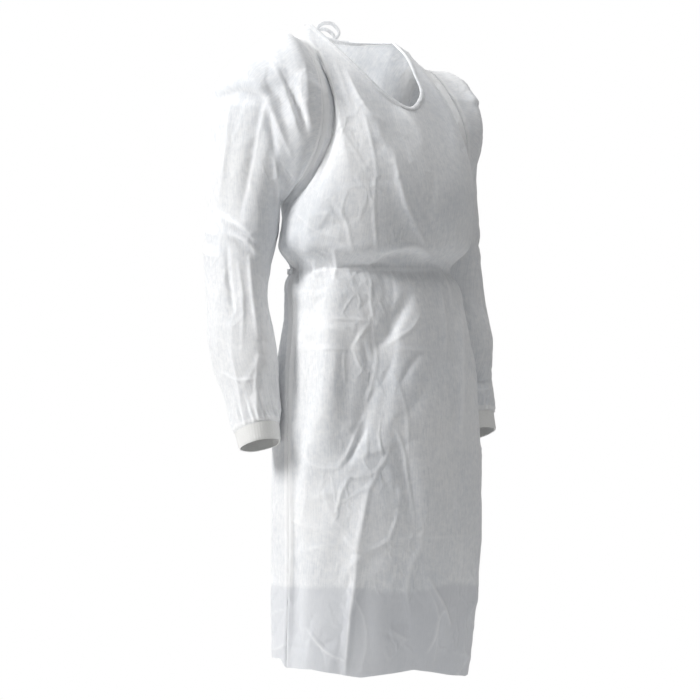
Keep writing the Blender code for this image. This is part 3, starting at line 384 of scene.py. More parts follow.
SHOULDER = ("sleeve_right", "front")
CREASES = in_order(Crease, [
    # Right shoulder and sleeve.
    (SHOULDER, PICTURE, [
        ("shoulder to chest", "crest", [(271, 58), (300, 76), (325, 92)], 8, 3.0),
        ("shoulder fan, long", "crest", [(271, 61), (284, 85), (298, 128)], 7, 3.5),
    ]),
    (RIGHT_ARM, PICTURE, [
        ("shoulder fan, short", "crest", [(298, 88), (306, 106), (313, 128)], 6, 2.5),
        ("fan trough", "soft", [(282, 74), (294, 100), (308, 135)], 7, -7.0),
        ("fan trough, middle", "soft", [(268, 88), (280, 102), (291, 116)], 7, -5.0),
        ("fan trough, outer", "soft", [(268, 114), (275, 151)], 7, -6.0),
        ("fan ridge, outer", "crest", [(269, 107), (280, 130), (291, 154)], 8, 3.5),
        ("cap nick", "crest", [(269, 64), (267, 74), (265, 83)], 4, -1.5),
        ("upper arm overhang", "lap", [(221, 92), (242, 89), (258, 92), (268, 103)], 9, 4.5),
        ("under the overhang", "soft", [(216, 98), (237, 98), (251, 99), (265, 106)], 5, -3.5),
        ("along the arm, outer", "crest", [(230, 102), (225, 151), (218, 199)], 7, 2.2),
        ("along the arm, inner", "lap", [(265, 104), (256, 151), (247, 199), (243, 215)], 10, 3.2),
        ("beside the armpit", "crest", [(275, 161), (277, 185), (277, 210)], 6, 2.2),
        ("elbow, outer", "crest", [(214, 208), (219, 222), (225, 236)], 6, 2.6),
        ("elbow, upper ridge", "crest", [(225, 217), (244, 229), (256, 240)], 7, 4.2),
        ("elbow, between", "soft", [(228, 226), (246, 237), (257, 247)], 5, -3.0),
        ("elbow, lower ridge", "crest", [(230, 234), (249, 243), (258, 255)], 7, 3.4),
        ("forearm, outer", "crest", [(226, 246), (228, 276), (232, 305)], 5, -2.6),
        ("forearm, outer edge", "crest", [(231, 250), (233, 280), (237, 312)], 6, 2.0),
        ("forearm, middle", "crest", [(249, 257), (252, 293), (258, 338)], 6, 2.6),
        ("forearm, inner", "lap", [(262, 300), (264, 335), (268, 372)], 8, 2.4),
        ("forearm, below the elbow", "crest", [(238, 262), (243, 300), (241, 352)], 6, 1.8),
        ("lower forearm, hollow", "soft", [(273, 352), (270, 385), (266, 420)], 11, -3.0),
        ("lower forearm, ridge", "crest", [(258, 352), (256, 388), (258, 424)], 6, 2.4),
        ("lower forearm, outer", "crest", [(232, 350), (238, 384), (244, 428)], 6, 2.0),
        ("lower forearm, across", "crest", [(222, 372), (238, 380), (256, 378)], 5, 2.0),
        ("gather, outer", "crest", [(236, 408), (239, 434)], 4, 1.8),
        ("gather, second", "crest", [(246, 402), (249, 431)], 4, -1.6),
        ("gather, third", "crest", [(264, 398), (262, 425)], 4, 1.6),
        ("gather, inner", "crest", [(275, 396), (274, 422)], 4, -1.6),
    ]),
    # Chest.
    (BODY_FRONT, PICTURE, [
        ("shoulder to middle", "crest", [(347, 73), (361, 101), (371, 114), (381, 120)], 7, 2.6),
        ("from the shoulder", "crest", [(335, 62), (344, 88), (352, 112)], 6, 1.6),
        ("centre fold, chest", "crest", [(365, 116), (371, 139), (375, 160), (377, 179)], 5, 1.8),
        ("centre fold, blouse", "crest", [(375, 180), (374, 210), (377, 250)], 5, 1.8),
        ("centre fold, at the waist", "crest", [(377, 251), (373, 257), (367, 265)], 6, 3.0),
        ("centre fold, hip", "crest", [(367, 269), (371, 282), (371, 304), (374, 319)], 5, 1.8),
        ("centre fold, thigh", "crest", [(374, 330), (376, 367), (371, 386), (367, 401)], 5, 1.8),
        ("small V, left side", "crest", [(341, 130), (354, 150), (366, 169)], 5, 1.4),
        ("small V, right side", "crest", [(366, 169), (369, 164), (371, 157)], 4, 1.2),
        ("packing fold, chest", "crest", [(322, 186), (345, 184), (370, 180), (408, 179)], 4, -1.3),
        ("neck to left chest", "crest", [(400, 109), (419, 131), (423, 147)], 7, 2.2),
        ("left chest, long", "crest", [(394, 150), (400, 181), (409, 210), (425, 245)], 8, 2.6),
        ("left chest, short", "crest", [(407, 143), (411, 158), (414, 174)], 5, 1.4),
        ("left chest, upright", "crest", [(436, 164), (437, 188), (436, 210)], 8, 2.0),
        ("left chest, hollow", "soft", [(410, 170), (422, 200), (436, 232)], 8, -2.6),
        ("left armhole wrinkle", "crest", [(473, 138), (467, 144), (461, 151)], 5, -2.2),
        ("middle chest dimple", "soft", [(374, 142), (384, 150)], 12, -2.2),
        ("chest beside the arm", "soft", [(475, 137), (474, 196), (468, 240), (459, 262)], 9, -4.5),
        ("blouse, right pocket", "soft", [(300, 232), (318, 246), (340, 250)], 10, 3.0),
        ("blouse, right crease", "crest", [(296, 214), (318, 232), (340, 238)], 6, 1.6),
        ("blouse, oblique", "crest", [(330, 196), (346, 222), (352, 250)], 6, 1.6),
    ]),
    # Waist.
    (BODY_FRONT, PICTURE, [
        ("drawn-in line, right", "crest", [(300, 278), (309, 271), (320, 267), (336, 268)], 6, -3.2),
        ("drawn-in line, middle", "crest", [(336, 268), (368, 265), (390, 265), (412, 265)], 6, -3.0),
        ("drawn-in line, left", "crest", [(412, 265), (438, 266), (449, 280), (455, 293)], 6, -3.0),
        ("edge under the line", "crest", [(300, 283), (320, 272), (368, 269), (438, 270)], 5, 2.0),
        ("pucker", "crest", [(335, 252), (337, 266), (334, 282)], 6, 3.0),
        ("arc over the line", "crest", [(370, 262), (385, 253), (400, 248), (420, 248), (430, 256)], 7, 4.0),
        ("pocket under the arc", "soft", [(382, 260), (402, 256), (424, 259)], 6, -5.0),
        ("pleat at the left hip", "lap", [(438, 268), (447, 283), (452, 306)], 8, 3.6),
        ("faint line below", "crest", [(300, 289), (322, 288), (345, 288)], 4, -1.2),
        ("dash below", "crest", [(415, 284), (426, 284)], 4, -1.6),
    ]),
    # Skirt.
    (BODY_FRONT, PICTURE, [
        ("lobe", "soft", [(336, 276), (332, 330), (330, 400), (326, 436)], 24, 10.0),
        ("left of the lobe", "soft", [(293, 300), (292, 360), (294, 420)], 9, -7.5),
        ("right of the fold", "soft", [(386, 284), (388, 340), (384, 400), (376, 436)], 14, -4.5),
        ("lobe, lower edge", "crest", [(305, 449), (310, 462), (323, 468), (338, 467)], 8, 2.4),
        ("lobe, right edge", "crest", [(338, 467), (347, 454), (360, 430)], 5, 1.8),
        ("beside the lobe", "soft", [(366, 428), (356, 446), (346, 466)], 6, -3.0),
        ("across the hip", "soft", [(306, 308), (322, 318), (340, 327)], 8, -3.0),
        ("packing fold, hip", "crest", [(326, 320), (350, 319), (371, 320)], 4, 1.4),
        ("packing fold, thigh", "crest", [(297, 348), (330, 349), (362, 349)], 4, 1.5),
        ("packing fold, left thigh", "crest", [(398, 349), (430, 349), (458, 348)], 4, 1.4),
        ("bright oblique", "crest", [(371, 321), (363, 332), (353, 346)], 4, 1.9),
        ("wedge", "soft", [(364, 345), (366, 356), (368, 366)], 6, -4.0),
        ("below the wedge", "crest", [(354, 349), (358, 363), (368, 376)], 4, 1.3),
        ("right of the wedge", "crest", [(345, 351), (344, 366), (345, 382)], 4, 1.4),
        ("left thigh trough", "soft", [(407, 300), (394, 323), (379, 345)], 8, -3.2),
        ("left thigh ridge", "crest", [(420, 315), (414, 326), (399, 337), (383, 345)], 5, 2.0),
        ("left thigh, lower", "soft", [(420, 354), (410, 366), (403, 380)], 6, -2.6),
        ("left hip, upright", "crest", [(439, 269), (442, 298), (446, 321), (446, 358)], 7, 2.4),
        ("left edge, upright", "crest", [(461, 311), (463, 380), (461, 450)], 8, 3.0),
        ("left edge, hollow", "soft", [(454, 320), (455, 380), (453, 440)], 7, -2.4),
        ("beside the lobe, edge", "crest", [(365, 415), (357, 430), (345, 462)], 4, 1.6),
        ("knee, first", "crest", [(367, 428), (367, 456)], 4, 1.6),
        ("knee, second", "crest", [(379, 436), (382, 457)], 4, 1.6),
        ("knee, long", "crest", [(396, 430), (403, 449), (407, 476), (414, 517)], 6, 2.2),
        ("knee, oblique", "crest", [(390, 448), (383, 463), (369, 476)], 4, 1.7),
        ("knee, short oblique", "crest", [(379, 470), (374, 480), (369, 490)], 5, 1.8),
        ("knee, across", "crest", [(338, 474), (352, 476), (370, 475)], 4, 1.5),
        ("knee V", "crest", [(350, 476), (342, 491), (336, 514)], 6, 1.9),
        ("lower centre, upper", "crest", [(369, 486), (362, 523), (357, 549)], 9, 2.8),
        ("lower centre, lower", "crest", [(357, 549), (355, 579), (350, 616), (345, 671)], 11, 3.6),
        ("curved crease", "crest", [(343, 534), (357, 550), (375, 548), (388, 540), (394, 527)], 5, 1.9),
        ("curved crease, end", "crest", [(392, 532), (396, 522), (398, 512)], 5, 1.8),
        ("across the left knee", "crest", [(390, 541), (414, 537), (446, 537), (474, 535)], 5, 2.0),
        ("right oblique", "crest", [(282, 516), (301, 524), (320, 531)], 5, 2.0),
        ("lower right corner", "crest", [(306, 628), (325, 651), (346, 662)], 6, 2.8),
        ("lower left, first", "crest", [(429, 579), (438, 597), (451, 624)], 7, 2.8),
        ("lower left, second", "crest", [(446, 605), (438, 618), (434, 638), (427, 652)], 6, 2.2),
        ("left edge, low", "crest", [(462, 541), (460, 579)], 5, 2.0),
    ]),
    # Left sleeve, as far as it shows.
    (LEFT_ARM, PICTURE, [
        ("left elbow, first", "crest", [(468, 375), (477, 382), (492, 379)], 5, -2.6),
        ("left elbow, second", "crest", [(468, 384), (478, 390), (492, 388)], 5, 1.8),
        ("left upper arm", "crest", [(456, 98), (463, 130), (468, 168)], 7, 2.2),
        ("left forearm", "crest", [(484, 395), (486, 425)], 5, 1.8),
    ]),
    # Hidden sides, kept like the ones that show.
    (BACKS, 180, [
        ("packing fold, centre back", "crest", [(-62, -60), (-60, -240), (-58, -400)], 5, 1.6),
        ("back, right blade", "crest", [(30, -44), (62, -110), (84, -190)], 8, 2.8),
        ("back, left blade", "crest", [(-96, -30), (-104, -110), (-92, -200)], 8, 2.8),
        ("back, oblique to the waist", "crest", [(120, -280), (78, -340), (40, -404)], 8, 3.0),
        ("back, oblique, left", "crest", [(-128, -276), (-96, -340), (-52, -406)], 8, 3.0),
        ("back, gather one", "soft", [(-34, -340), (-24, -410)], 6, -3.0),
        ("back, gather two", "soft", [(46, -350), (34, -412)], 6, -3.0),
        ("back, gather three", "crest", [(74, -370), (62, -414), (70, -470)], 6, 2.8),
        ("back, gather four", "crest", [(-80, -372), (-70, -414), (-78, -480)], 6, 2.8),
        ("seat, right", "crest", [(40, -430), (66, -520), (78, -620)], 10, 3.4),
        ("seat, left", "crest", [(-36, -430), (-80, -540), (-96, -650)], 10, 3.4),
        ("packing fold, back one", "crest", [(-170, -572), (-60, -570), (60, -573), (170, -570)], 5, 1.6),
        ("packing fold, back two", "crest", [(-170, -728), (-40, -730), (80, -727), (170, -730)], 5, 1.6),
        ("packing fold, back three", "crest", [(-170, -888), (-60, -885), (60, -888), (170, -885)], 5, 1.6),
        ("back of the knee", "crest", [(96, -780), (40, -812), (-10, -806)], 7, 2.4),
        ("back skirt, upright", "crest", [(84, -700), (92, -860), (88, -1040)], 10, 3.4),
        ("back skirt, upright, left", "crest", [(-112, -760), (-122, -900), (-118, -1060)], 10, 3.4),
        ("back skirt, low", "crest", [(20, -960), (44, -1010), (50, -1080)], 7, 2.6),
    ]),
    (("front", "back_left"), 90, [
        ("left side, upright", "crest", [(-20, -440), (-36, -600), (-30, -820)], 9, 2.8),
    ]),
    (BODY_FRONT, 90, [
        ("left side, oblique", "crest", [(-150, -560), (-100, -640), (-60, -700)], 8, 2.6),
        ("left side, low", "crest", [(-120, -880), (-96, -980), (-104, -1100)], 9, 3.0),
        ("packing fold, left side", "crest", [(-190, -728), (-120, -730), (-30, -728)], 5, 1.5),
    ]),
    (LEFT_ARM, 70, [
        ("left arm, outer", "crest", [(6, -60), (-2, -180), (4, -300)], 8, 2.8),
    ]),
    (LEFT_ARM, 60, [
        ("left arm, fan one", "crest", [(-30, -60), (-62, -120), (-84, -200)], 8, 3.2),
        ("left arm, fan two", "soft", [(-20, -90), (-40, -150), (-60, -220)], 8, -3.6),
        ("left arm, overhang", "lap", [(-60, -120), (-20, -110), (30, -114), (66, -136)], 9, 4.0),
        ("left elbow, upper", "crest", [(-60, -352), (-12, -340), (40, -356)], 8, 4.2),
        ("left elbow, lower", "crest", [(-54, -384), (-8, -376), (44, -392)], 8, 3.4),
        ("left elbow, between", "soft", [(-56, -368), (-8, -358), (42, -374)], 6, -3.4),
    ]),
    (LEFT_ARM, 70, [
        ("left forearm, outer", "crest", [(24, -430), (10, -520), (-4, -640)], 7, 2.6),
    ]),
    (LEFT_ARM, 20, [
        ("left forearm, front", "crest", [(222, -420), (230, -520), (226, -650)], 7, 2.6),
    ]),
    (RIGHT_ARM, 200, [
        ("right arm, back", "crest", [(206, -90), (222, -180), (216, -290)], 8, 2.8),
        ("right arm, back fan", "crest", [(150, -90), (174, -160), (186, -240)], 8, 3.2),
        ("right elbow, point", "crest", [(170, -350), (214, -340), (262, -356)], 8, 4.0),
        ("right elbow, under", "crest", [(176, -384), (216, -378), (260, -392)], 8, 3.2),
        ("right elbow, back hollow", "soft", [(172, -368), (214, -360), (260, -374)], 6, -3.4),
        ("right forearm, back", "crest", [(228, -430), (238, -520), (226, -640)], 7, 2.6),
    ]),
    (LEFT_ARM, 170, [
        ("left arm, back", "crest", [(-196, -90), (-216, -180), (-214, -290)], 8, 2.8),
        ("left arm, back fan", "crest", [(-160, -90), (-180, -160), (-192, -240)], 8, 3.2),
        ("left forearm, back", "crest", [(-222, -430), (-232, -520), (-226, -640)], 7, 2.6),
    ]),
])

# Small random creases: how many a piece gets, and their seed.
Crumple = namedtuple("Crumple", "piece count seed")

CRUMPLES = [
    Crumple("front", 190, 11),
    Crumple("back_right", 110, 12),
    Crumple("back_left", 110, 13),
    Crumple("sleeve_right", 70, 14),
    Crumple("sleeve_left", 80, 15),
]

# ---- Curves ----


def through(knots, values, where):
    """The values at `where` on a smooth curve that passes through `values` at the rising `knots`."""
    knots = np.asarray(knots, float)
    values = np.asarray(values, float)
    where = np.asarray(where, float)
    slope = np.gradient(values, knots, axis=0)
    low = np.clip(np.searchsorted(knots, where, side="right") - 1, 0, len(knots) - 2)
    width = knots[low + 1] - knots[low]
    t = np.clip((where - knots[low]) / width, 0.0, 1.0)
    if values.ndim > 1:
        width = width[..., None]
        t = t[..., None]
    start = (2 * t**3 - 3 * t**2 + 1) * values[low] + (t**3 - 2 * t**2 + t) * width * slope[low]
    end = (3 * t**2 - 2 * t**3) * values[low + 1] + (t**3 - t**2) * width * slope[low + 1]
    return start + end


def lengths(points):
    """The distance run at each point of a path, from its first three columns."""
    steps = np.linalg.norm(np.diff(points[:, :3], axis=0), axis=1)
    return np.concatenate([[0.0], np.cumsum(steps)])


def smooth_path(points, steps):
    """A smooth curve through the points, cut into equal steps along its length."""
    points = np.asarray(points, float)
    run = lengths(points)
    fine = through(run, points, np.linspace(0.0, run[-1], 400))
    fine_run = lengths(fine)
    even = np.linspace(0.0, fine_run[-1], steps + 1)
    return np.column_stack([np.interp(even, fine_run, fine[:, k]) for k in range(fine.shape[1])])


def ease(value, low, high):
    """0 up to low, 1 from high, and smooth between."""
    t = np.clip((np.asarray(value, float) - low) / (high - low), 0.0, 1.0)
    return t * t * (3 - 2 * t)


def edge(spots, steps, side=0):
    """The edge through the spots. Where side is -1 or 1, x is outward on that side and the shoulders lean."""
    points = np.array([[s.x, s.y, s.z, s.lead, s.aside] for s in spots], float)
    if side:
        points[:, 0] *= side
        points[:, 4] *= side
        points[:, :3] = lean(points[:, :3])
    return smooth_path(points, steps)


def lean(points):
    """Points of the shoulders and arms, as they really hang: one shoulder up, the other down, and both swayed."""
    points = np.array(points, float)
    height = points[..., 2].copy()
    share = np.sin(np.clip(points[..., 0] / LEAN_WIDTH, -1.0, 1.0) * math.pi)
    points[..., 2] -= LEAN * share * ease(height, -230.0, -60.0)
    points[..., 2] -= LEFT_DROP * ease(points[..., 0], 145.0, 225.0) * ease(height, -210.0, -90.0)
    points[..., 2] += LEFT_WRIST_RISE * ease(-height, 430.0, 680.0) * (points[..., 0] > 0)
    outer = ease(np.abs(points[..., 0]), 185.0, 240.0)
    points[..., 0] -= SWAY * outer * ease(-height, 30.0, 100.0) * ease(height, -330.0, -230.0)
    return points


# ---- Body panels ----


def section(z):
    """The body's section at each height: half width, front, back, middle and seam angle."""
    table = np.array([[s.half_width, s.front, s.back, s.middle, s.seam] for s in BODY], float)
    down = np.array([-s.z for s in BODY], float)
    return through(down, table, -np.asarray(z, float))


def pleated(angle, z):
    """How far the upright folds carry the cloth out, at an angle in degrees and a height."""
    out = np.zeros(np.broadcast(angle, z).shape)
    for pleat in PLEATS:
        turn = (angle - pleat.angle + 180.0) % 360.0 - 180.0
        levels = through([-WAIST_Z - 90, -WAIST_Z, -WAIST_Z + 160, 1140],
                         [pleat.chest, pleat.waist, 0.6 * pleat.hem, pleat.hem], -z)
        out += levels * np.exp(-((turn / pleat.width) ** 2)) * ease(-z, -CHEST_Z, -CHEST_Z + 60)
    return out


def body_point(angle, z):
    """The point of the body's outer face at an angle round it, in degrees, and a height."""
    size = section(z)
    turn = np.radians(angle)
    depth = np.where(np.sin(turn) > 0, size[..., 2], size[..., 1])
    out = 1 + pleated(angle, z) / size[..., 0]
    x = size[..., 0] * out * np.cos(turn)
    y = size[..., 3] + depth * out * np.sin(turn)
    return np.stack([x, y, np.broadcast_to(z, x.shape)], axis=-1)


def heights(hem):
    """The heights of the level rows, closest together at the waist, and of the rows that turn level into hem."""
    bodice = CHEST_Z + (WAIST_Z - CHEST_Z) * np.linspace(0, 1, BODICE_ROWS + 1) ** 0.9
    skirt = WAIST_Z + (LAST_LEVEL_Z - WAIST_Z) * np.linspace(0, 1, SKIRT_ROWS + 1)[1:] ** 1.08
    level = np.concatenate([bodice, skirt])
    last = LAST_LEVEL_Z + (hem - LAST_LEVEL_Z) * np.linspace(0, 1, HEM_ROWS + 1)[1:, None]
    return np.vstack([np.repeat(level[:, None], len(hem), axis=1), last])


def panel(top, share, angle_of, hem, way, lift=None):
    """A body panel: a grid of points from its top edge, over the yoke, to its hem.

    share runs across the panel, angle_of gives the angle round the body for a share and a height, way is -1 for the
    front and 1 for a back, and lift is how far each column stands off the body.
    """
    rows = heights(np.interp(share, [h.share for h in hem], [h.z for h in hem]))
    angle = angle_of(share[None, :], rows)
    lower = body_point(angle, rows)
    if lift is not None:
        lower = lower + lift(angle)[..., None] * outward(angle)
    start, end = top[:, :3], lower[0]
    leading = np.radians(top[:, 3])
    reach = np.linalg.norm(end - start, axis=1)[:, None]
    rest = np.sqrt(1 - top[:, 4] ** 2)
    leave = np.column_stack([top[:, 4], way * rest * np.sin(leading), -rest * np.cos(leading)])
    arrive = lower[1] - lower[0]
    arrive /= np.linalg.norm(arrive, axis=1)[:, None]
    t = np.linspace(0, 1, YOKE_ROWS + 1)[:-1, None, None] ** 1.1
    yoke = ((2 * t**3 - 3 * t**2 + 1) * start + (t**3 - 2 * t**2 + t) * reach * leave
            + (3 * t**2 - 2 * t**3) * end + (t**3 - t**2) * reach * arrive)
    return np.concatenate([yoke, lower])


def outward(angle):
    """The level direction away from the body at an angle round it."""
    turn = np.radians(angle)
    return np.stack([np.cos(turn), np.sin(turn), np.zeros_like(turn)], axis=-1)


def seam_angle(z):
    return section(z)[..., 4]


def lap_angle(z):
    """How far past the centre back a back reaches at a height, in degrees."""
    reach = through([-lap.z for lap in LAPS], [lap.reach for lap in LAPS], -z)
    return np.degrees(np.arcsin(reach / section(z)[..., 0]))


def front_angle(share, z):
    return 270.0 + share * (90.0 + seam_angle(z))


def right_back_angle(share, z):
    seam = 180.0 - seam_angle(z)
    return seam + share * (90.0 - lap_angle(z) - seam)


def left_back_angle(share, z):
    seam = seam_angle(z)
    return seam + share * (90.0 + lap_angle(z) - seam)


def lap_lift(angle):
    return LAP_LIFT * ease(angle, 32.0, 70.0)


def front_panel():
    arm_right = edge(ARMHOLE_FRONT, ARMHOLE_STEPS, -1)
    arm_left = edge(ARMHOLE_FRONT, ARMHOLE_STEPS, 1)
    neck = edge(NECK_FRONT, NECK_STEPS)
    top = np.vstack([arm_right[::-1], shoulder(arm_right[0], neck[0])[1:-1], neck,
                     shoulder(neck[-1], arm_left[0])[1:-1], arm_left])
    share = spread([-1, -ARMHOLE_SHARE, -NECK_SHARE, NECK_SHARE, ARMHOLE_SHARE, 1],
                   [ARMHOLE_STEPS, SHOULDER_STEPS, NECK_STEPS, SHOULDER_STEPS, ARMHOLE_STEPS])
    return panel(top, share, front_angle, HEM_FRONT, -1)


def back_panel(side):
    """The back on one side: -1 is the right one, which lies under, and 1 the left one, which laps over it."""
    arm = edge(ARMHOLE_BACK, ARMHOLE_STEPS, side)
    nape = edge(NAPE_RIGHT if side < 0 else NAPE_LEFT, NAPE_STEPS)
    top = np.vstack([arm[::-1], shoulder(arm[0], nape[0])[1:-1], nape])
    share = spread([0, BACK_ARMHOLE_SHARE, NAPE_SHARE, 1], [ARMHOLE_STEPS, SHOULDER_STEPS, NAPE_STEPS])
    if side < 0:
        return panel(top, share, right_back_angle, HEM_RIGHT_BACK, 1)
    return panel(top, share, left_back_angle, HEM_LEFT_BACK, 1, lap_lift)


def spread(stops, steps):
    """Shares across a panel, in even steps between the stops."""
    runs = [np.linspace(low, high, count + 1)[1:] for low, high, count in zip(stops[:-1], stops[1:], steps)]
    return np.concatenate([[stops[0]], *runs])


def shoulder(start, end):
    """The shoulder seam, straight between the tip and the neck point."""
    return start + (end - start) * np.linspace(0, 1, SHOULDER_STEPS + 1)[:, None]


# ---- Sleeves ----


def ring_points(ring, side):
    """A sleeve ring's points: from the inner point over the front to the outer point, and back behind."""
    front = np.linspace(0, math.pi, ARMHOLE_STEPS + 1)[:-1]
    back = np.linspace(math.pi, 2 * math.pi, ARMHOLE_STEPS + 1)[:-1]
    turn = np.concatenate([front, back])
    along = (1 - np.cos(turn)) / 2
    x = ring.x_in + (ring.x_out - ring.x_in) * along
    z = ring.z_in + (ring.z_out - ring.z_in) * along
    drop = math.radians(ring.nose)
    y = ring.y - ring.depth * np.sin(turn) * math.cos(drop)
    z = z + ring.depth * np.sin(turn) * math.sin(drop)
    return lean(np.column_stack([side * x, y, z]))


def tube(rings, rows, side, first=None):
    """A grid of points through the rings, from the top down. first is a ready ring that comes before them."""
    loops = [ring_points(ring, side) for ring in rings]
    if first is not None:
        loops.insert(0, first)
    loops = np.array(loops)
    middles = loops.mean(axis=1)
    run = lengths(middles)
    run /= run[-1]
    return through(run, loops.reshape(len(loops), -1), np.linspace(0, 1, rows + 1)).reshape(rows + 1, -1, 3)


def armhole_loop(side):
    front = edge(ARMHOLE_FRONT, ARMHOLE_STEPS, side)[::-1, :3]
    back = edge(ARMHOLE_BACK, ARMHOLE_STEPS, side)[:, :3]
    return np.vstack([front[:-1], back[:-1]])


# ---- Creases ----


def grid_normals(grid, closed):
    """Outward unit normals of a grid of points, whose columns may close into a tube."""
    down = np.gradient(grid, axis=0)
    if closed:
        across = (np.roll(grid, -1, axis=1) - np.roll(grid, 1, axis=1)) / 2
    else:
        across = np.gradient(grid, axis=1)
    normal = np.cross(down, across)
    return normal / np.maximum(np.linalg.norm(normal, axis=-1), 1e-9)[..., None]


def to_path(across, up, path):
    """Each point's signed distance to a path on the plane, above 0 on its left, and how far along it lies, 0 to 1."""
    path = np.asarray(path, float)
    run = lengths(np.column_stack([path, np.zeros(len(path))]))
    best = np.full(across.shape, 1e9)
    along = np.zeros(across.shape)
    for (start, end), run_start in zip(zip(path[:-1], path[1:]), run[:-1]):
        step = end - start
        length = math.hypot(*step)
        t = np.clip(((across - start[0]) * step[0] + (up - start[1]) * step[1]) / length**2, 0, 1)
        off_x, off_y = across - start[0] - t * step[0], up - start[1] - t * step[1]
        distance = np.hypot(off_x, off_y)
        nearer = distance < np.abs(best)
        best = np.where(nearer, distance * np.where(step[0] * off_y - step[1] * off_x < 0, -1.0, 1.0), best)
        along = np.where(nearer, (run_start + t * length) / run[-1], along)
    return best, along


def seen(points, view):
    """Where points fall in a view, the millimetres that one of its units covers there, and the way to the eye."""
    turn = math.radians(PICTURE_ANGLE if view is PICTURE else view)
    back = np.array([math.sin(turn), -math.cos(turn), 0.0])
    across = points[..., 0] * math.cos(turn) + points[..., 1] * math.sin(turn)
    up = points[..., 2]
    if view is not PICTURE:
        return across, up, 1.0, back
    focal = CAMERA_DISTANCE / PICTURE_SCALE
    depth = CAMERA_DISTANCE - points @ back
    middle = PICTURE_SIZE / 2
    return middle + (across - AIM_ASIDE) / depth * focal, (up - AIM_Z) / depth * focal - middle, depth / focal, back


def rise(kind, distance, width):
    """A crease's height over its own, at a signed distance from its line."""
    x = distance / width
    if kind == "soft":
        return np.exp(-x * x)
    if kind == "crest":
        return np.clip(1 - np.abs(x), 0, 1) ** 1.35
    return np.where(x > 0, np.exp(-((x / 1.7) ** 2)), np.clip(1 + x / 0.55, 0, 1) ** 1.2)


def on_paths(piece, rows, reach, taper_power):
    """The rise that a table of folds or creases gives each point of a piece; sharp ones that stand out also paint a
    highlight along their ridge.
    """
    out = np.zeros(piece.grid.shape[:2])
    for row in rows:
        if piece.name not in row.pieces:
            continue
        across, up, unit, back = seen(piece.grid, row.view)
        path = [(x, -y) for x, y in row.path] if row.view is PICTURE else row.path
        distance, along = to_path(across, up, smooth_plane(path) if len(path) > 2 else path)
        taper = np.sin(math.pi * np.clip(0.06 + 0.88 * along, 0, 1)) ** taper_power
        facing = piece.normal @ back
        kind = getattr(row, "kind", "soft")
        shown = taper * ease(facing, 0.0, reach)
        out += row.height * shown * rise(kind, distance * unit, row.width)
        # Painted highlight: the ridge of a sharp crease that stands out is painted whiter.
        if kind != "soft" and row.height > 0:
            ridge_highlight_mark = np.exp(-((distance * unit / RIDGE_HIGHLIGHT_WIDTH) ** 2)) * shown
            piece.ridge_highlight = np.maximum(piece.ridge_highlight, ridge_highlight_mark * min(1.0, 0.35 + row.height * 0.2))
    return out


def smooth_plane(path):
    """A path on the plane, rounded through its points."""
    return smooth_path(np.column_stack([path, np.zeros(len(path))]), 4 * (len(path) - 1))[:, :2]


def swell(piece, dice):
    """The slight unevenness of the whole piece: long waves that cross at all angles."""
    across, down = piece.flat[..., 0], piece.flat[..., 1]
    out = np.zeros(across.shape)
    for _ in range(16):
        length, way, start = dice.uniform(60, 190), dice.uniform(0, math.pi), dice.uniform(0, 2 * math.pi)
        wave = (across * math.cos(way) + down * math.sin(way) * 0.6) * 2 * math.pi / length + start
        out += np.sin(wave) * length / 190
    return out * 0.42


def crumpled(piece, count, dice):
    """The small creases of a packed nonwoven: short sharp ridges and troughs, with flat cloth between them."""
    rows, columns = piece.grid.shape[:2]
    out = np.zeros((rows, columns))
    for _ in range(count):
        r, c = int(dice.integers(2, rows - 2)), int(dice.integers(2, columns - 2))
        length = 34 + 150 * dice.random() ** 2
        way = dice.normal(math.pi / 2, 0.85)
        bend = dice.uniform(-0.7, 0.7)
        width = 6 + 18 * dice.random() ** 2
        height = dice.choice([-1, 1]) * (0.45 + 0.07 * width) * dice.uniform(0.6, 1.3)
        step_down = np.linalg.norm(piece.grid[r + 1, c] - piece.grid[r - 1, c]) / 2
        step_across = np.linalg.norm(piece.grid[r, c + 1] - piece.grid[r, c - 1]) / 2
        reach = np.linspace(-0.5, 0.5, 7) * length
        turn = way + bend * reach / length
        down = np.clip(np.round(r + reach * np.sin(turn) / step_down), 0, rows - 1).astype(int)
        across = np.clip(np.round(c + reach * np.cos(turn) / step_across), 0, columns - 1).astype(int)
        path = piece.grid[down, across]
        pad_down, pad_across = int(width / step_down) + 2, int(width / step_across) + 2
        window = (slice(max(down.min() - pad_down, 0), down.max() + pad_down + 1),
                  slice(max(across.min() - pad_across, 0), across.max() + pad_across + 1))
        spots = piece.grid[window]
        best = np.full(spots.shape[:2], 1e9)
        along = np.zeros(spots.shape[:2])
        for k, (start, end) in enumerate(zip(path[:-1], path[1:])):
            step = end - start
            t = np.clip((spots - start) @ step / max(step @ step, 1e-6), 0, 1)
            distance = np.linalg.norm(spots - start - t[..., None] * step, axis=-1)
            nearer = distance < best
            best = np.where(nearer, distance, best)
            along = np.where(nearer, (k + t) / 6, along)
        taper = np.sin(math.pi * np.clip(0.05 + 0.9 * along, 0, 1)) ** 0.6
        out[window] += height * taper * rise("crest", best, width)
        # Painted highlight along the ridge of each raised crease.
        if height > 0:
            ridge_highlight_mark = np.exp(-((best / RIDGE_HIGHLIGHT_WIDTH) ** 2)) * taper * 0.5
            piece.ridge_highlight[window] = np.maximum(piece.ridge_highlight[window], ridge_highlight_mark)
    return out


def ripples(run, waves, dice):
    """An uneven row of gathers along a seam."""
    total = sum(np.sin(run * 2 * math.pi / length + dice.uniform(0, 2 * math.pi)) for length in waves)
    return total / len(waves) ** 0.5


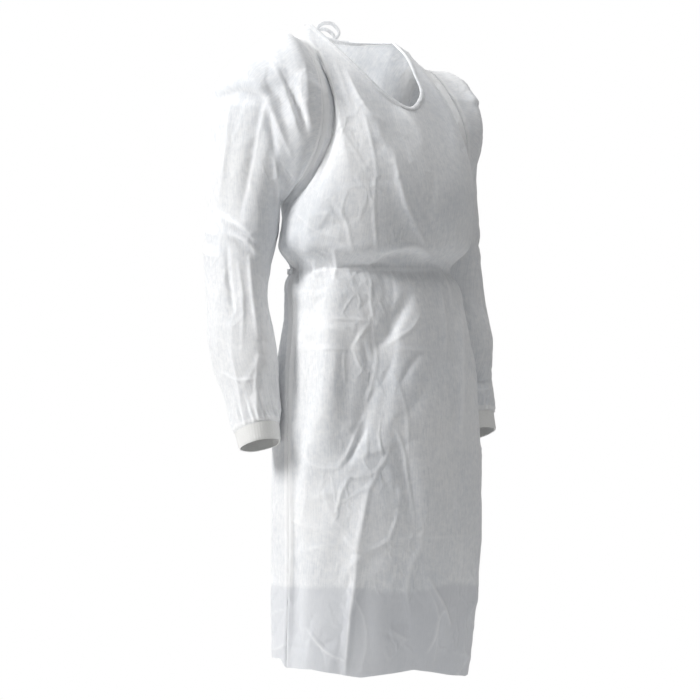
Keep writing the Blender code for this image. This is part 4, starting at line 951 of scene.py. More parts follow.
class Cloth:
    """One piece of cloth as a grid of points on its outer face, with a normal at each."""

    def __init__(self, name, grid, closed=False, free=()):
        self.name = name
        self.grid = grid
        self.closed = closed
        self.free = free
        self.normal = grid_normals(grid, closed)
        self.flat = self.laid_flat()
        self.under = np.zeros(grid.shape[:2])
        # How much whiter each point is painted, as a highlight along crease ridges.
        self.ridge_highlight = np.zeros(grid.shape[:2])
        self.seam, self.run = self.from_seams()

    def laid_flat(self):
        """Each point's place on the flat cloth: across from the middle column, and down from the top edge."""
        steps = np.linalg.norm(np.diff(self.grid, axis=1), axis=-1)
        across = np.concatenate([np.zeros((len(self.grid), 1)), np.cumsum(steps, axis=1)], axis=1)
        across -= across[:, across.shape[1] // 2][:, None]
        steps = np.linalg.norm(np.diff(self.grid, axis=0), axis=-1)
        down = np.concatenate([np.zeros((1, self.grid.shape[1])), np.cumsum(steps, axis=0)], axis=0)
        return np.stack([across, down], axis=-1)

    def sewn(self):
        """The lines of points along which the piece is sewn to others."""
        lines = {"top": self.grid[0], "bottom": self.grid[-1], "first": self.grid[:, 0], "last": self.grid[:, -1]}
        if self.closed:
            del lines["last"]
        return [line for name, line in lines.items() if name not in self.free]

    def from_seams(self):
        """How far each point lies from the nearest seam, and where along it."""
        spots, line_of, runs = [], [], []
        for number, line in enumerate(self.sewn()):
            spots.append(line)
            line_of += [number] * len(line)
            runs.append(lengths(line) + 700.0 * number)
        spots, line_of, runs = np.vstack(spots), np.array(line_of), np.concatenate(runs)
        tree = KDTree(len(spots))
        for k, spot in enumerate(spots.tolist()):
            tree.insert(spot, k)
        tree.balance()
        points = self.grid.reshape(-1, 3)
        near = np.array([tree.find(point)[1] for point in points.tolist()])
        best = np.full(len(points), 1e9)
        for shift in (-1, 1):
            other = np.clip(near + shift, 0, len(spots) - 1)
            other = np.where(line_of[other] == line_of[near], other, near)
            step = spots[other] - spots[near]
            t = np.sum((points - spots[near]) * step, axis=1) / np.maximum(np.sum(step * step, axis=1), 1e-6)
            gap = points - spots[near] - np.clip(t, 0, 1)[:, None] * step
            best = np.minimum(best, np.linalg.norm(gap, axis=1))
        return best.reshape(self.grid.shape[:2]), runs[near].reshape(self.grid.shape[:2])

    def raise_by(self, out):
        self.grid = self.grid + out[..., None] * self.normal
        self.normal = grid_normals(self.grid, self.closed)

    def rims(self):
        """The piece's edges as loops of (place, its neighbour inside the piece), where a place is a row and column."""
        rows, columns = self.grid.shape[:2]
        top = [((0, c), (1, c)) for c in range(columns)]
        bottom = [((rows - 1, c), (rows - 2, c)) for c in reversed(range(columns))]
        if self.closed:
            return [top, bottom]
        left = [((r, 0), (r, 1)) for r in reversed(range(1, rows - 1))]
        right = [((r, columns - 1), (r, columns - 2)) for r in range(1, rows - 1)]
        return [top + right + bottom + left]


def slackened(pieces):
    """Lets the cloth either side of both armholes even out, so that it runs on over the seam without a trench."""
    loops = np.vstack([piece.grid[0] for piece in pieces if piece.closed])
    tree = KDTree(len(loops))
    for k, spot in enumerate(loops.tolist()):
        tree.insert(spot, k)
    tree.balance()
    meeting = {}
    for number, piece in enumerate(pieces):
        away = np.array([tree.find(point)[2] for point in piece.grid.reshape(-1, 3).tolist()])
        piece.loose = 1 - ease(away.reshape(piece.grid.shape[:2]), 6.0, SLACK_REACH)
        for place, inner in sum(piece.rims(), []):
            if piece.loose[place] > 0.5:
                meeting.setdefault(tuple(np.round(piece.grid[place], 1)), []).append((number, place, inner))
    groups = [group for group in meeting.values() if len(group) > 1]
    for _ in range(SLACK_ROUNDS):
        for piece in pieces:
            grid = piece.grid
            evened = grid.copy()
            middle = grid[1:-1]
            if piece.closed:
                sides = np.roll(middle, 1, axis=1) + np.roll(middle, -1, axis=1)
                evened[1:-1] = (grid[:-2] + grid[2:] + sides) / 4
            else:
                evened[1:-1, 1:-1] = (grid[:-2, 1:-1] + grid[2:, 1:-1] + grid[1:-1, :-2] + grid[1:-1, 2:]) / 4
            piece.grid = grid + (evened - grid) * piece.loose[..., None] * 0.8
        for group in groups:
            inside = sum(pieces[number].grid[inner] for number, _, inner in group) / len(group)
            held = pieces[group[0][0]].grid[group[0][1]]
            spot = held + (inside - held) * 0.5
            for number, place, _ in group:
                pieces[number].grid[place] = spot
    for piece in pieces:
        piece.normal = grid_normals(piece.grid, piece.closed)


def creased(piece, sizes, crumple):
    """Raises the creases, gathers and seam marks of a piece."""
    dice = np.random.default_rng(crumple.seed)
    out = on_paths(piece, CREASES, 0.3, 0.5) * sizes.creases
    out += (swell(piece, dice) + crumpled(piece, crumple.count, dice)) * sizes.crumple
    height, depth = piece.grid[..., 2], piece.grid[..., 1]
    if piece.closed:
        above_cuff = piece.flat[-1, :, 1][None, :] - piece.flat[..., 1]
        out += 1.7 * ripples(piece.flat[..., 0], (9.0, 14.0, 23.0), dice) * np.exp(-((above_cuff / 34) ** 2))
    else:
        behind = 0.25 + 0.75 * ease(depth, -110.0, -20.0)
        near_waist = np.exp(-(((height - WAIST_Z) / 24) ** 2))
        out += 1.5 * behind * ripples(piece.flat[..., 0], (13.0, 21.0, 34.0), dice) * near_waist
    if piece.name.startswith("back"):
        # The two layers of the lap keep clear of each other.
        lapped = ease(np.abs(piece.grid[..., 0]), 60.0, 110.0) if piece.name == "back_right" else 1.0
        out = out * (0.35 + 0.65 * lapped) if piece.name == "back_right" else np.maximum(out, -2.5)
    out = out * ease(piece.seam, 0.0, 7.0)
    beside_seam = np.exp(-((piece.seam / 9) ** 2)) * ease(piece.seam, 0, 3)
    out += 0.45 * ripples(piece.run, (8.0, 13.0, 29.0), dice) * beside_seam
    out += sizes.allowance * 1000 * ease(piece.seam, 1.0, 3.0) * (1 - ease(piece.seam, 8.0, 10.5))
    out -= sizes.groove * 1000 * np.exp(-((piece.seam / 1.8) ** 2))
    piece.under = out
    piece.raise_by(out)


def share_normals(pieces):
    """Gives the points where two pieces meet one normal, so that the walls meet in a mitre and keep their gap."""
    meeting = {}
    for piece in pieces:
        for place, _ in sum(piece.rims(), []):
            key = tuple(np.round(piece.grid[place], 1))
            meeting.setdefault(key, []).append((piece, place))
    for group in meeting.values():
        total = sum(piece.normal[place] for piece, place in group)
        size = np.linalg.norm(total)
        if len(group) < 2 or size < 1e-6:
            continue
        mean = total / size
        if all(float(piece.normal[place] @ mean) > MITRE_LIMIT for piece, place in group):
            for piece, place in group:
                piece.normal[place] = mean


def draw_in(piece):
    """Moves each edge point into its own piece, so that both edges that meet there lie half a gap further in."""
    moved = piece.grid.copy()
    for rim in piece.rims():
        for k, (place, inner) in enumerate(rim):
            point = piece.grid[place]
            ways = []
            for other, _ in (rim[k - 1], rim[(k + 1) % len(rim)]):
                along = piece.grid[other] - point
                along /= np.linalg.norm(along)
                step = piece.grid[inner] - point
                if np.linalg.norm(np.cross(step, along)) < 1e-6 * np.linalg.norm(step):
                    step = piece.grid[rim[k - 1][1]] - point
                step -= (step @ along) * along
                ways.append(step / np.linalg.norm(step))
            share = max(1.0 + ways[0] @ ways[1], 0.25)
            moved[place] = point + (ways[0] + ways[1]) / share * GAP * 0.5
    piece.grid = moved


# ---- Meshes ----


def mesh_object(name, vertices, faces, sharp=80.0):
    """A new object from points in millimetres, with its faces turned outwards."""
    vertices = np.asarray(vertices, float) * MM
    mesh = bpy.data.meshes.new(name)
    mesh.from_pydata(vertices.tolist(), [], faces)
    mesh.shade_smooth()
    mesh.set_sharp_from_angle(angle=math.radians(sharp))
    made = bpy.data.objects.new(name, mesh)
    bpy.context.scene.collection.objects.link(made)
    return made


def shell(piece, wall):
    """A closed thin wall: the creased outer face, an inner face at half its fineness, and rims between them."""
    outer = piece.grid
    rows, columns = outer.shape[:2]
    low = piece.under.copy()
    padded = np.pad(low, 1, mode="edge")
    if piece.closed:
        padded[1:-1, 0], padded[1:-1, -1] = low[:, -1], low[:, 0]
    for r in range(3):
        for c in range(3):
            low = np.minimum(low, padded[r:r + rows, c:c + columns])
    inner = (piece.grid + (low - piece.under - wall)[..., None] * piece.normal)[::2, ::2]
    inner_rows, inner_columns = inner.shape[:2]
    shift = rows * columns
    vertices = np.concatenate([outer.reshape(-1, 3), inner.reshape(-1, 3)])
    flat = piece.flat * MM
    faces, places = [], []

    def face(spots, flipped=False):
        """Adds a face from (is inner, row, column) spots, with their places on the flat cloth."""
        spots = spots[::-1] if flipped else spots
        faces.append([shift + r * inner_columns + c % inner_columns if inside else r * columns + c % columns
                      for inside, r, c in spots])
        places.extend((r * (2 if inside else 1), c * (2 if inside else 1)) for inside, r, c in spots)

    for r in range(rows - 1):
        for c in range(columns if piece.closed else columns - 1):
            face([(0, r, c), (0, r + 1, c), (0, r + 1, c + 1), (0, r, c + 1)])
    for r in range(inner_rows - 1):
        for c in range(inner_columns if piece.closed else inner_columns - 1):
            face([(1, r, c), (1, r, c + 1), (1, r + 1, c + 1), (1, r + 1, c)])
    for c in range(inner_columns if piece.closed else inner_columns - 1):
        for r, end, flipped in ((0, 0, False), (rows - 1, inner_rows - 1, True)):
            face([(0, r, 2 * c), (0, r, 2 * c + 1), (0, r, 2 * c + 2), (1, end, c + 1), (1, end, c)], flipped)
    if not piece.closed:
        for r in range(inner_rows - 1):
            for c, end, flipped in ((0, 0, True), (columns - 1, inner_columns - 1, False)):
                face([(0, 2 * r, c), (0, 2 * r + 1, c), (0, 2 * r + 2, c), (1, r + 1, end), (1, r, end)], flipped)

    made = mesh_object(piece.name + "_cloth", vertices, faces)
    mesh = made.data
    places = np.array(places)
    across, down = flat[..., 0], flat[..., 1]
    if piece.closed:
        # The last face of each ring runs on past the last column.
        across = np.column_stack([across, 2 * across[:, -1] - across[:, -2], 3 * across[:, -1] - 2 * across[:, -2]])
        down = np.column_stack([down, down[:, 0], down[:, 1]])
    where = mesh.uv_layers.new(name="cloth")
    where.data.foreach_set("uv", np.stack([across[places[:, 0], places[:, 1]], -down[places[:, 0], places[:, 1]]],
                                          axis=-1).ravel())
    # Besides the distance from a seam, these carry two painted tones to the material: the painted shade of the free
    # skirt and the painted highlight along crease ridges.
    both = [np.concatenate([value.ravel(), value[::2, ::2].ravel()])
            for value in (piece.seam * MM, painted_hem_shade_share(piece), piece.ridge_highlight)]
    for name, value in zip(("from_seam", "sheer", "creased"), both):
        mesh.attributes.new(name, "FLOAT", "POINT").data.foreach_set("value", value.astype(np.float32))
    return made


def painted_hem_shade_share(piece):
    """1 where the skirt hangs free and its colour is painted greyer, a painted shade, and 0 above."""
    if piece.closed:
        return np.zeros(piece.grid.shape[:2])
    edge_z = PAINTED_HEM_SHADE_Z + 5.0 * np.sin(piece.grid[..., 0] / 31.0)
    return ease(-piece.grid[..., 2], -edge_z - 5.0, -edge_z + 5.0)


def loft(name, loops):
    """A closed solid through outlines of equal count, turned so that its faces point outwards."""
    count, sides = loops.shape[:2]
    quads = [(r * sides + c, r * sides + (c + 1) % sides, (r + 1) * sides + (c + 1) % sides, (r + 1) * sides + c)
             for r in range(count - 1) for c in range(sides)]
    quads += [tuple(reversed(range(sides))), tuple(range((count - 1) * sides, count * sides))]
    points = loops.reshape(-1, 3)
    middle = points.mean(axis=0)
    volume = sum(float((points[q[0]] - middle) @ np.cross(points[q[k]] - middle, points[q[k + 1]] - middle))
                 for q in quads for k in range(1, len(q) - 1))
    if volume < 0:
        quads = [tuple(reversed(q)) for q in quads]
    return mesh_object(name, points, quads, 60.0)


def swept(name, path, faces, outline):
    """A strip along a path; faces gives the way that its flat side looks, and outline its section at each point."""
    ahead = np.gradient(path, axis=0)
    ahead /= np.linalg.norm(ahead, axis=1)[:, None]
    face = faces - np.sum(faces * ahead, axis=1)[:, None] * ahead
    face /= np.linalg.norm(face, axis=1)[:, None]
    side = np.cross(ahead, face)
    outline = np.asarray(outline, float)
    if outline.ndim == 2:
        outline = np.repeat(outline[None], len(path), axis=0)
    loops = path[:, None] + outline[..., :1] * side[:, None] + outline[..., 1:] * face[:, None]
    return loft(name, loops)


def strip_outline(width, wall, count, dice):
    """The section of a folded strip along its length: flat, a little crowned, with one folded and one doubled edge."""
    half = width / 2
    base = np.array([(-half, -0.2), (-half + 0.35, -0.5), (0, -0.42), (half - 0.35, -0.5), (half, -0.25), (half, 0.25),
                     (half - 0.35, 0.5), (half * 0.3, 0.36), (-half * 0.3, 0.4), (-half + 0.35, 0.5), (-half, 0.2)])
    base[:, 1] *= wall
    rows = np.repeat(base[None], count, axis=0)
    share = np.linspace(0, 1, count)
    cup = sum(dice.uniform(-1, 1) * np.sin(share * math.pi * k + dice.uniform(0, 6)) for k in (3, 5, 8)) * width * 0.05
    rows[..., 1] += cup[:, None] * ((rows[..., 0] / half) ** 2 - 0.4)
    rows[..., 0] *= 1 + 0.04 * np.sin(share * 40)[:, None]
    return rows


def strip(row, origin, dice, steps=72):
    """A tie along the row's path, which starts from origin."""
    path = smooth_path(np.array(row.path, float) + np.array(origin), steps)
    share = np.linspace(0, 1, len(path))[:, None]
    faces = np.array(row.face_start) * (1 - share) + np.array(row.face_end) * share
    return swept(row.name + "_cloth", path, faces, strip_outline(row.width, TIE_WALL * 0.8, len(path), dice))


def knot(name, centre, size, dice):
    """A tie's knot: the strip wrapped one and a half times round itself, over the crossing strands inside."""
    turn = np.linspace(-0.5 * math.pi, 2.6 * math.pi, 66)
    half = np.array(size, float) / 2
    grow = 0.80 + 0.14 * np.linspace(0, 1, len(turn))
    path = np.column_stack([half[0] * 0.30 * np.sin(turn * 0.65 + 0.4), half[1] * grow * np.cos(turn),
                            half[2] * grow * np.sin(turn)])
    faces = np.column_stack([np.zeros(len(turn)), np.cos(turn) / half[1], np.sin(turn) / half[2]])
    width = size[0] * 0.62
    wrap = swept(name + "_wrap", path + np.array(centre), faces, strip_outline(width, TIE_WALL, len(turn), dice))
    rows, sides = 15, 24
    level, round_it = np.linspace(0.04, math.pi - 0.04, rows)[:, None], np.linspace(0, 2 * math.pi, sides, False)[None]
    swirl = 1 + 0.07 * np.sin(3 * round_it + 5 * level)
    ball = np.stack([np.cos(level) * half[0] * np.ones_like(round_it), np.sin(level) * np.cos(round_it) * half[1] * 0.8,
                     np.sin(level) * np.sin(round_it) * half[2] * 0.8], axis=-1) * swirl[..., None]
    core = loft(name + "_core", ball + np.array(centre))
    return joined(name + "_cloth", [wrap, core])


def joined(name, parts):
    """One object from several, which are removed."""
    vertices, faces = [], []
    for part in parts:
        base = len(vertices)
        vertices += [tuple(v.co) for v in part.data.vertices]
        faces += [tuple(base + i for i in p.vertices) for p in part.data.polygons]
        mesh = part.data
        bpy.data.objects.remove(part)
        bpy.data.meshes.remove(mesh)
    return mesh_object(name, np.array(vertices) / MM, faces, 60.0)


# ---- The pattern, cut out and fitted ----

CUT = {}


def cut_out(sizes):
    """All the cloth pieces, creased and fitted to each other, made once."""
    if CUT:
        return CUT
    pieces = [
        Cloth("front", front_panel(), free=("bottom",)),
        Cloth("back_right", back_panel(-1)[:, ::-1], free=("bottom", "first")),
        Cloth("back_left", back_panel(1), free=("bottom", "last")),
        Cloth("sleeve_right", tube(SLEEVE, SLEEVE_ROWS, -1, armhole_loop(-1))[:, ::-1], True),
        Cloth("sleeve_left", tube(SLEEVE, SLEEVE_ROWS, 1, armhole_loop(1)), True),
    ]
    for piece in pieces:
        piece.raise_by(on_paths(piece, FOLDS, 0.4, 0.6) * ease(piece.seam, 0.0, 15.0))
    slackened(pieces)
    crumples = {row.piece: row for row in CRUMPLES}
    for piece in pieces:
        creased(piece, sizes, crumples[piece.name])
    cuffs = [Cloth("cuff_right", tube(CUFF, CUFF_ROWS, -1)[:, ::-1], True, free=("bottom",)),
             Cloth("cuff_left", tube(CUFF, CUFF_ROWS, 1), True, free=("bottom",))]
    for piece in cuffs:
        ribbed(piece, sizes)
    share_normals(pieces + cuffs)
    for piece in pieces + cuffs:
        draw_in(piece)
        CUT[piece.name] = piece
    return CUT


def ribbed(piece, sizes):
    """Raises the ribs of a cuff, which stand out less where they are sewn in."""
    columns = piece.grid.shape[1]
    rib = np.cos(np.arange(columns) / columns * 2 * math.pi * sizes.ribs)[None, :]
    down = np.linspace(0, 1, len(piece.grid))[:, None]
    out = sizes.rib_height * 1000 * rib * (0.5 + 0.5 * ease(down, 0.0, 0.3)) - 0.9 * ease(down, 0.86, 1.0)
    out = out + 0.7 * np.sin(np.arange(columns) / columns * 2 * math.pi * 5 + 1.3)[None, :] * ease(down, 0.2, 1.0)
    piece.under = np.zeros(piece.grid.shape[:2])
    piece.raise_by(out)


def neck_lines(front, back_right, back_left, depth):
    """Along the neck edge, from the right back round the front: lines of points and normals that run into the cloth."""
    first = ARMHOLE_STEPS + SHOULDER_STEPS
    lines = []
    for piece, start, steps in ((back_right, 0, NAPE_STEPS), (front, first, NECK_STEPS),
                                (back_left, first, NAPE_STEPS)):
        rim = piece.grid[0, start:start + steps + 1]
        along = np.gradient(rim, axis=0)
        for k in range(steps + 1):
            c = start + k
            if piece is front and k in (0, steps):
                # At the neck points the line runs along the shoulder seam.
                way = -1 if k == 0 else 1
                places = [(0, c + way * n) for n in range(8)]
            elif piece is back_right and k == steps or piece is back_left and k == 0:
                continue
            else:
                places = [(n, c) for n in range(8)]
            points = np.array([piece.grid[place] for place in places])
            normals = np.array([piece.normal[place] for place in places])
            fall = points[1] - points[0]
            square = np.linalg.norm(np.cross(fall, along[k])) / np.linalg.norm(along[k]) / np.linalg.norm(fall)
            run = lengths(points) * square
            at = [np.interp(depth, run, points[:, j]) for j in range(3)]
            facing = np.array([np.interp(depth, run, normals[:, j]) for j in range(3)])
            facing /= np.linalg.norm(facing, axis=0)
            above = np.minimum(depth, 0.0)[None] * (fall / np.linalg.norm(fall) / square)[:, None]
            lines.append((np.array(at) + above, facing))
    return np.array([line[0].T for line in lines]), np.array([line[1].T for line in lines])


# The binding's section: how far off the cloth's outer face, and how far down from the neck edge.
BINDING_SECTION = [(0.85, 8.0), (1.35, 7.2), (0.95, 6.2), (1.45, 5.2), (1.6, 3.4), (1.5, 1.6), (1.2, 0.1), (0.5, -0.9),
                   (-0.4, -1.25), (-1.4, -1.0), (-2.2, -0.2), (-2.6, 1.6), (-2.7, 4.4), (-2.5, 7.0), (-2.2, 8.0),
                   (-1.7, 7.6), (-1.6, 0.5), (0.25, 0.5), (0.3, 7.6)]


def neck_binding(pieces):
    off, down = np.array(BINDING_SECTION).T
    points, facing = neck_lines(pieces["front"], pieces["back_right"], pieces["back_left"], down)
    return loft("neck_binding_cloth", points + facing * off[None, :, None])


def waist_line(angles):
    """Points on the outermost cloth at the waist, and the way out from it."""
    base = body_point(angles, np.full(len(angles), WAIST_Z))
    lift = np.where(angles < 90.0, lap_lift(angles), LAP_LIFT * ease(-angles, -162.0, -128.0))
    out = outward(angles)
    return base + lift[:, None] * out, out


def waist_tie(name, seam, centre, dice):
    """A waist tie, from its side seam round the back to the knot."""
    angles = np.linspace(seam, centre, 120)
    line, out = waist_line(angles)
    share = np.linspace(0, 1, len(angles))
    sway = np.sin(share * 19 + dice.uniform(0, 6)) * 0.7 * np.sin(share * math.pi)
    path = line + out * (WAIST_TIE_STAND + TIE_WALL / 2)
    path[:, 2] += sway
    return swept(name, path, out, strip_outline(WAIST_TIE_WIDTH, TIE_WALL * 0.9, len(angles), dice))


# ---- Stitches ----


def stitch_tree(thread):
    """Node group: stitches of one length along a curve, each an oval of thread."""
    tree = bpy.data.node_groups.new("Stitches along a seam", "GeometryNodeTree")
    tree.interface.new_socket("Seam", in_out="INPUT", socket_type="NodeSocketGeometry")
    for name, value in (("Stitch length", 0.0032), ("Thread", 0.0005)):
        socket = tree.interface.new_socket(name, in_out="INPUT", socket_type="NodeSocketFloat")
        socket.default_value = value
        socket.subtype = "DISTANCE"
    tree.interface.new_socket("Stitches", in_out="OUTPUT", socket_type="NodeSocketGeometry")
    seam, length, width, _ = add(tree, "NodeGroupInput").outputs
    spaced = add(tree, "GeometryNodeResampleCurve", {"Curve": seam, "Length": length}, mode="LENGTH")
    ball = add(tree, "GeometryNodeMeshUVSphere", {"Segments": 6, "Rings": 4, "Radius": 0.5})
    along = add(tree, "GeometryNodeInputTangent")
    turn = add(tree, "FunctionNodeAlignRotationToVector", {"Vector": along}, axis="Z")
    reach = add(tree, "ShaderNodeMath", {0: length, 1: 0.78}, operation="MULTIPLY")
    size = add(tree, "ShaderNodeCombineXYZ", {"X": width, "Y": width, "Z": reach})
    placed = add(tree, "GeometryNodeInstanceOnPoints", {"Points": spaced, "Instance": ball,
                  "Rotation": turn, "Scale": size})
    real = add(tree, "GeometryNodeRealizeInstances", {"Geometry": placed})
    painted = add(tree, "GeometryNodeSetMaterial", {"Geometry": real, "Material": thread})
    add(tree, "NodeGroupOutput", {"Stitches": painted})
    return tree


def stitched(name, lines, sizes, thread):
    """One mesh of the stitches along several lines of points."""
    curve = bpy.data.curves.new(name, "CURVE")
    curve.dimensions = "3D"
    for line in lines:
        spline = curve.splines.new("POLY")
        spline.points.add(len(line) - 1)
        spline.points.foreach_set("co", np.column_stack([np.array(line) * MM, np.ones(len(line))]).ravel())
    path = bpy.data.objects.new(name + "_path", curve)
    bpy.context.scene.collection.objects.link(path)
    tree = stitch_tree(thread)
    modifier = path.modifiers.new("Stitches", "NODES")
    modifier.node_group = tree
    wanted = {"Stitch length": sizes.stitch, "Thread": sizes.thread}
    for item in tree.interface.items_tree:
        if item.item_type == "SOCKET" and item.in_out == "INPUT" and item.name in wanted:
            modifier[item.identifier] = wanted[item.name]
    evaluated = path.evaluated_get(bpy.context.evaluated_depsgraph_get())
    mesh = bpy.data.meshes.new_from_object(evaluated)
    mesh.name = name
    made = bpy.data.objects.new(name, mesh)
    bpy.context.scene.collection.objects.link(made)
    bpy.data.objects.remove(path)
    bpy.data.curves.remove(curve)
    bpy.data.node_groups.remove(tree)
    return made


def seam_lines(pieces):
    """The sewn lines, each a little proud of its groove: side seams, shoulders, armholes, and both cuffs' seams."""
    front = pieces["front"]
    last = front.grid.shape[1] - 1
    right, left = ARMHOLE_STEPS, last - ARMHOLE_STEPS - SHOULDER_STEPS
    lines = [front.grid[place] + SEAM_STAND * front.normal[place]
             for place in ((slice(None), 0), (slice(None), last), (0, slice(right, right + SHOULDER_STEPS + 1)),
                           (0, slice(left, left + SHOULDER_STEPS + 1)))]
    for name in ("sleeve_right", "sleeve_left"):
        for row in (0, -1):
            line = pieces[name].grid[row] + SEAM_STAND * pieces[name].normal[row]
            lines.append(np.vstack([line, line[:1]]))
    return lines


# ---- Finishes ----


def linear(code):
    """A linear colour from an sRGB hex code such as 'ECEEF0'."""
    parts = [int(code[k:k + 2], 16) / 255 for k in (0, 2, 4)]
    return tuple(c / 12.92 if c <= 0.04045 else ((c + 0.055) / 1.055) ** 2.4 for c in parts)


def add(tree, kind, values=None, **settings):
    """Adds a node. values gives its inputs: plain values, or the sockets, or the nodes by their first output in use."""
    made = tree.nodes.new(kind)
    for name, value in settings.items():
        setattr(made, name, value)
    for key, value in (values or {}).items():
        socket = made.inputs[key]
        if isinstance(value, bpy.types.Node):
            value = next(output for output in value.outputs if output.enabled)
        if isinstance(value, bpy.types.NodeSocket):
            tree.links.new(value, socket)
        else:
            socket.default_value = value
    return made


def new_finish(name, values):
    """A material whose shader has these values, and its tree and shader."""
    made = bpy.data.materials.new(name)
    made.use_nodes = True
    shader = made.node_tree.nodes["Principled BSDF"]
    for key, value in values.items():
        shader.inputs[key].default_value = value
    return made, made.node_tree, shader


def spunbond(name, colours, folded=False):
    """Spunbond polypropylene, 35 g a square metre: pressed from fine filaments, so it is matte white, a little
    translucent, faintly streaked along its length, and it creases like paper.

    Filaments are 0.02 mm wide, too fine to show, so the streaks are drawn 2 mm wide. The bond points are 1.5 mm
    apart in the real cloth, and are drawn 3 mm apart.
    """
    made, tree, shader = new_finish(name, {
        "Roughness": 0.82, "IOR": 1.49, "Specular IOR Level": 0.35, "Sheen Weight": 0.10, "Sheen Roughness": 0.45,
        "Subsurface Weight": 0.75, "Subsurface Radius": (1.0, 1.0, 1.0), "Subsurface Scale": 0.003})
    if folded:
        place = add(tree, "ShaderNodeTexCoord").outputs["Object"]
    else:
        place = add(tree, "ShaderNodeUVMap", uv_map="cloth").outputs["UV"]
    own = add(tree, "ShaderNodeTexCoord").outputs["Object"]

    streaks_at = add(tree, "ShaderNodeMapping", {"Vector": place, "Scale": (1 / 0.0024, 1 / 0.024, 1 / 0.0024)})
    streaks = add(tree, "ShaderNodeTexNoise", {"Vector": streaks_at, "Scale": 1.0, "Detail": 3.0, "Roughness": 0.6})
    cloud = add(tree, "ShaderNodeTexNoise", {"Vector": own, "Scale": 1 / 0.009, "Detail": 4.0, "Roughness": 0.65})
    broad = add(tree, "ShaderNodeTexNoise", {"Vector": own, "Scale": 1 / 0.16, "Detail": 1.0, "Roughness": 0.5})
    both = add(tree, "ShaderNodeMath", {0: streaks, 1: cloud}, operation="ADD")
    all_three = add(tree, "ShaderNodeMath", {0: both, 1: broad}, operation="ADD")
    amount = add(tree, "ShaderNodeMapRange", {"Value": all_three, "From Min": 1.2, "From Max": 1.8})
    colour = add(tree, "ShaderNodeMix", {"Factor": amount, "A": (*colours[0], 1), "B": (*colours[1], 1)},
                 data_type="RGBA")
    if not folded:
        # Two layers lie over each other at a seam, so less light goes through and the cloth looks whiter. Where the
        # skirt hangs free its colour is painted greyer, a painted shade, and along the ridge of each raised crease it
        # is painted whiter, a painted highlight.
        from_seam, sheer, crease_ridge_highlight = (add(tree, "ShaderNodeAttribute", attribute_name=name).outputs["Fac"]
                                          for name in ("from_seam", "sheer", "creased"))
        doubled = add(tree, "ShaderNodeMapRange", {"Value": from_seam, "From Min": 0.0085, "From Max": 0.0100,
                                                   "To Min": 0.75, "To Max": 0.0})
        hem_shade_amount = add(tree, "ShaderNodeMath", {0: sheer, 1: 0.75}, operation="MULTIPLY")
        # Painted highlight: the ridge of each raised crease is painted whiter.
        ridge_highlight_amount = add(tree, "ShaderNodeMath", {0: crease_ridge_highlight, 1: 0.7}, operation="MULTIPLY")
        for share, tint in ((doubled, colours[2]), (hem_shade_amount, colours[3]), (ridge_highlight_amount, colours[2])):
            colour = add(tree, "ShaderNodeMix", {"Factor": share, "A": colour, "B": (*tint, 1)}, data_type="RGBA")
    tree.links.new(colour.outputs["Result"], shader.inputs["Base Color"])

    # Height: streaks, bond points, and the fine crackle of creases from packing.
    points = add(tree, "ShaderNodeTexVoronoi", {"Vector": place, "Scale": 1 / 0.003, "Randomness": 0.15})
    dots = add(tree, "ShaderNodeMapRange", {"Value": points, "From Min": 0.12, "From Max": 0.3,
                                            "To Min": -0.5, "To Max": 0.0})
    warp = add(tree, "ShaderNodeTexNoise", {"Vector": own, "Scale": 1 / 0.05, "Detail": 2.0})
    bent = add(tree, "ShaderNodeMix", {"Factor": 0.035, "A": own, "B": warp.outputs["Color"]}, data_type="VECTOR")
    stretch = add(tree, "ShaderNodeMapping", {"Vector": bent, "Scale": (1 / 0.030, 1 / 0.030, 1 / 0.052)})
    crackle = add(tree, "ShaderNodeTexVoronoi", {"Vector": stretch, "Scale": 1.0}, feature="DISTANCE_TO_EDGE")
    creases = add(tree, "ShaderNodeMapRange", {"Value": crackle, "From Min": 0.0, "From Max": 0.16,
                                               "To Min": 1.0, "To Max": 0.0}, interpolation_type="SMOOTHSTEP")
    patches = add(tree, "ShaderNodeTexNoise", {"Vector": own, "Scale": 1 / 0.07, "Detail": 1.0})
    where = add(tree, "ShaderNodeMapRange", {"Value": patches, "From Min": 0.40, "From Max": 0.62,
                                             "To Min": 0.0, "To Max": 5.0})
    fine = add(tree, "ShaderNodeMath", {0: creases, 1: where}, operation="MULTIPLY")
    summed = add(tree, "ShaderNodeMath", {0: streaks, 1: dots}, operation="ADD")
    height = add(tree, "ShaderNodeMath", {0: summed, 1: fine}, operation="ADD")
    bump = add(tree, "ShaderNodeBump", {"Strength": 0.55, "Distance": 0.0002, "Height": height})
    tree.links.new(bump.outputs["Normal"], shader.inputs["Normal"])
    return made


